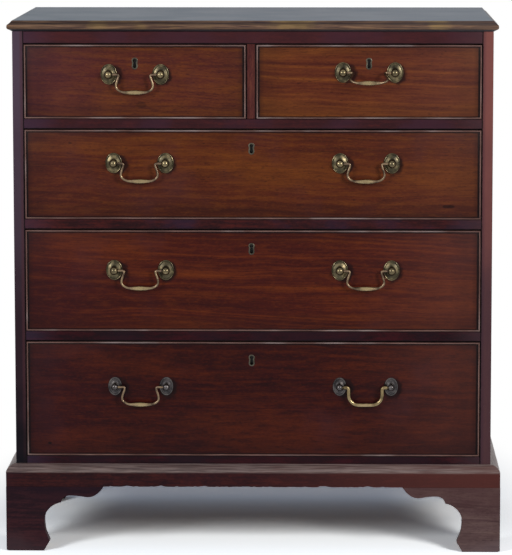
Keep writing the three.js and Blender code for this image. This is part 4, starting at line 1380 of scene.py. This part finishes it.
def bail(name, pivot, ball, neck_shares, thickness, raised):
    """A bar bent to the line of its neck, turned about its pins by the angle it is raised. Its
    grip is rubbed most."""
    half = HANDLE_SPREAD / 2
    left = [Vector((-half + along * half, 0, -down * BAIL_DROP)) for along, down in neck_shares]
    left[0] = Vector((-half + ball - PIN_DEPTH, 0, 0))
    right = [Vector((-p.x, 0, p.z)) for p in reversed(left[:-1])]
    line = centripetal([*left, *right], BAIL_CURVE_STEPS)
    swing = Matrix.Rotation(-math.radians(raised), 4, "X")
    rows, wear_and_light = [], []
    for i, centre in enumerate(line):
        ahead = line[min(i + 1, len(line) - 1)] - line[max(i - 1, 0)]
        ahead.normalize()
        across = Vector((-ahead.z, 0, ahead.x))
        radius = thickness(centre.x, centre.z, ball)
        row = []
        for j in range(ROUND_SIDES):
            turn = math.tau * j / ROUND_SIDES
            out = Vector((0, radius * math.sin(turn), 0))
            row.append(pivot + swing @ (centre + across * radius * math.cos(turn) + out))
        rows.append(row)
        down = -centre.z / BAIL_DROP
        worn_and_lit = 0.4 + 0.2 * min(1.0, down * 3)
        worn_and_lit += max(0.0, 0.4 - abs(centre.x) / half) if down > 0.6 else 0.0
        wear_and_light += [worn_and_lit] * ROUND_SIDES
    return skinned(name, rows, wear_and_light)


def hang_handle(drawer, word, raised, style, post_brass, bail_brass, neck_shares, thickness):
    """One handle: its two posts with their roses and nuts, and its bail."""
    joint = hinges[f"{drawer}_{word}bail"]
    prefix = f"{drawer}_{word}handle"
    pivot = Vector(joint["pos_m"])
    post_slot = "dark_brass" if post_brass is dark_brass else "aged_brass"
    bail_slot = "bright_brass" if bail_brass is bright_brass else "aged_brass"
    for end, end_word in ((-1, "left"), (1, "right")):
        centre = Vector((pivot.x + end * HANDLE_SPREAD / 2, FRONT_Y, pivot.z))
        node_name = f"{prefix}_{end_word}_post"
        plate = rose(f"{prefix}_{end_word}_rose", style, centre)
        dressed(plate, post_brass, drawer, post_slot, node_name)
        pillar = post(f"{prefix}_{end_word}_ball", style, centre, -end)
        dressed(pillar, post_brass, drawer, post_slot, node_name)
        nut = square_nut(f"{prefix}_{end_word}_nut", centre)
        dressed(nut, nut_brass, drawer, post_slot, node_name)
    bar = bail(f"{prefix}_bar", pivot, style["ball"], neck_shares, thickness, raised)
    dressed(bar, bail_brass, joint["child"], bail_slot, f"{prefix}_bail")


for drawer in fronts:
    drawer_front(drawer)
    drawer_linings(drawer)
    lock_brass = filed_metal(
        f"filed_sheet_brass_{drawer}", "#9a8450", "#6e5c38", "x", keyhole=keyhole_centre(drawer)
    )
    kept_node(f"{drawer}_lock", lock_brass, 0.3 * MM)
    kept_node(f"{drawer}_bolt", bolt_steel, 0.6 * MM)
    lock_screws(drawer)

swan_neck = (swan_neck_shares, swelling_bar)
usual_handle = (oval_rose, aged_brass, handled_brass, *swan_neck)
for drawer, word, raised, kind in (
    ("middle_drawer", "left_", 0, usual_handle),
    ("middle_drawer", "right_", 0, usual_handle),
    ("upper_drawer", "left_", 0, usual_handle),
    ("upper_drawer", "right_", 0, usual_handle),
    ("left_short_drawer", "", 0, usual_handle),
    ("right_short_drawer", "", RAISED_BAIL_ANGLE, usual_handle),
    ("lower_drawer", "left_", 0, (stepped_rose, dark_brass, handled_brass, *swan_neck)),
    (
        "lower_drawer",
        "right_",
        0,
        (stepped_rose, dark_brass, bright_brass, plain_neck_shares, even_bar),
    ),
):
    hang_handle(drawer, word, raised, *kind)

# Nails that hold the back planks, in three rows. Their heads are given as radius and height
nail_profile = [
    (r * MM, -h * MM) for r, h in ((0, -0.3), (2.6, -0.3), (2.6, 0.0), (1.7, 0.25), (0, 0.3))
]
nail_rows = (
    back_low.z + NAIL_FROM_BOTTOM,
    (back_low.z + back_high.z) / 2,
    back_high.z - NAIL_FROM_TOP,
)
for i in range(plank_count):
    for row, z in enumerate(nail_rows):
        for side, word in ((-1, "left"), (1, "right")):
            x = back_low.x + plank_width * (i + 0.5) + side * plank_width * 0.3
            x += wandering((x, 0, z), 40 * MM, 4 * MM)
            place = Vector((x, back_high.y - 0.3 * MM, z))
            nail = turned(f"back_nail_{i + 1}_{row + 1}_{word}", nail_profile, place, sides=10)
            dressed(nail, nail_iron, "carcass", "bolt_steel")


# Studio: a pale floor and two softboxes
FLOOR_REACH = 14.0
SOFTBOX_WIDTH, SOFTBOX_HEIGHT = 0.8, 1.1
SOFTBOX_PLACE = (2.15, -2.65, 1.68)
SOFTBOX_AIM_Z = 0.5
WHITE = (1, 1, 1, 1)


def seen_rays(tree):
    """1 for the rays that show the background itself, 0 for the ones that light the object."""
    rays = put(tree, "LightPath").outputs
    total = rays["Is Camera Ray"]
    for name in ("Is Glossy Ray", "Is Transmission Ray"):
        total = number(tree, "MAXIMUM", total, rays[name])
    return total


def pale_floor():
    """Pale grey paper for light that bounces, white paper for the eye, which keeps the shadow.
    Further off it is plain white."""
    mesh = bpy.data.meshes.new("floor")
    signs = ((-1, -1), (1, -1), (1, 1), (-1, 1))
    corners = [(x * FLOOR_REACH, y * FLOOR_REACH, 0) for x, y in signs]
    mesh.from_pydata(corners, [], [(0, 1, 2, 3)])
    material, tree = new_material("pale_studio_floor")
    mesh.materials.append(material)
    placed("floor", mesh)
    seen = seen_rays(tree)
    place = put(tree, "TexCoord").outputs["Object"]
    oval = vector(tree, "MULTIPLY", place, (1.6, 0.75, 0))
    far = product(tree, band(tree, vector(tree, "LENGTH", oval), 0.62, 1.1), seen)
    paper = tinted(tree, seen, linear("#c4c4c4"), (2.06, 2.12, 2.14, 1.0))
    near_floor = put(tree, "BsdfDiffuse", {"Color": paper}).outputs[0]
    white = put(tree, "Emission", {"Color": WHITE, "Strength": 1.0}).outputs[0]
    mixed = put(tree, "MixShader", {0: far, 1: near_floor, 2: white}).outputs[0]
    put(tree, "OutputMaterial", {"Surface": mixed})


def softbox(side, energy, colour):
    """A lamp to the left or right in front of the object, which only its light shows."""
    lamp = bpy.data.lights.new("softbox", "AREA")
    lamp.shape = "RECTANGLE"
    lamp.size = SOFTBOX_WIDTH
    lamp.size_y = SOFTBOX_HEIGHT
    lamp.energy = energy
    lamp.color = colour
    holder = placed("softbox", lamp)
    x, y, z = SOFTBOX_PLACE
    holder.location = (side * x, y, z)
    aim = Vector((0, FRONT_Y, SOFTBOX_AIM_Z)) - holder.location
    holder.rotation_euler = aim.to_track_quat("-Z", "Y").to_euler()
    holder.visible_camera = False


def studio_air():
    """White behind the object, and a faint blue light from all round it."""
    world = bpy.data.worlds.new("studio_air")
    world.use_nodes = True
    tree = world.node_tree
    tree.nodes.clear()
    air = put(tree, "Background", {"Color": linear("#dce8ff"), "Strength": 0.18}).outputs[0]
    white = put(tree, "Background", {"Color": WHITE, "Strength": 1.0}).outputs[0]
    mixed = put(tree, "MixShader", {0: seen_rays(tree), 1: air, 2: white}).outputs[0]
    put(tree, "OutputWorld", {"Surface": mixed})
    bpy.context.scene.world = world


pale_floor()
softbox(-1, 47, (0.97, 0.985, 1.0))
softbox(1, 65, (1.0, 0.985, 0.965))
studio_air()

# Camera: a long lens a little right of the middle, above the top, with a small fall of the lens
SENSOR_WIDTH = 36
LENS_TO_SENSOR = 5.6991
CAMERA_TILT = 0.1198
CAMERA_TURN = 0.0156
camera_data = bpy.data.cameras.new("camera")
camera_data.sensor_width = SENSOR_WIDTH
camera_data.lens = LENS_TO_SENSOR * SENSOR_WIDTH
camera_data.shift_x = -0.05
camera_data.shift_y = -0.10
camera_data.clip_end = 100
camera = placed("camera", camera_data)
camera.location = (0.1528, -6.2231, 1.3605)
camera.rotation_euler = (math.pi / 2 - CAMERA_TILT, 0.0, CAMERA_TURN)
bpy.context.scene.camera = camera
bpy.context.scene.view_settings.view_transform = "Standard"
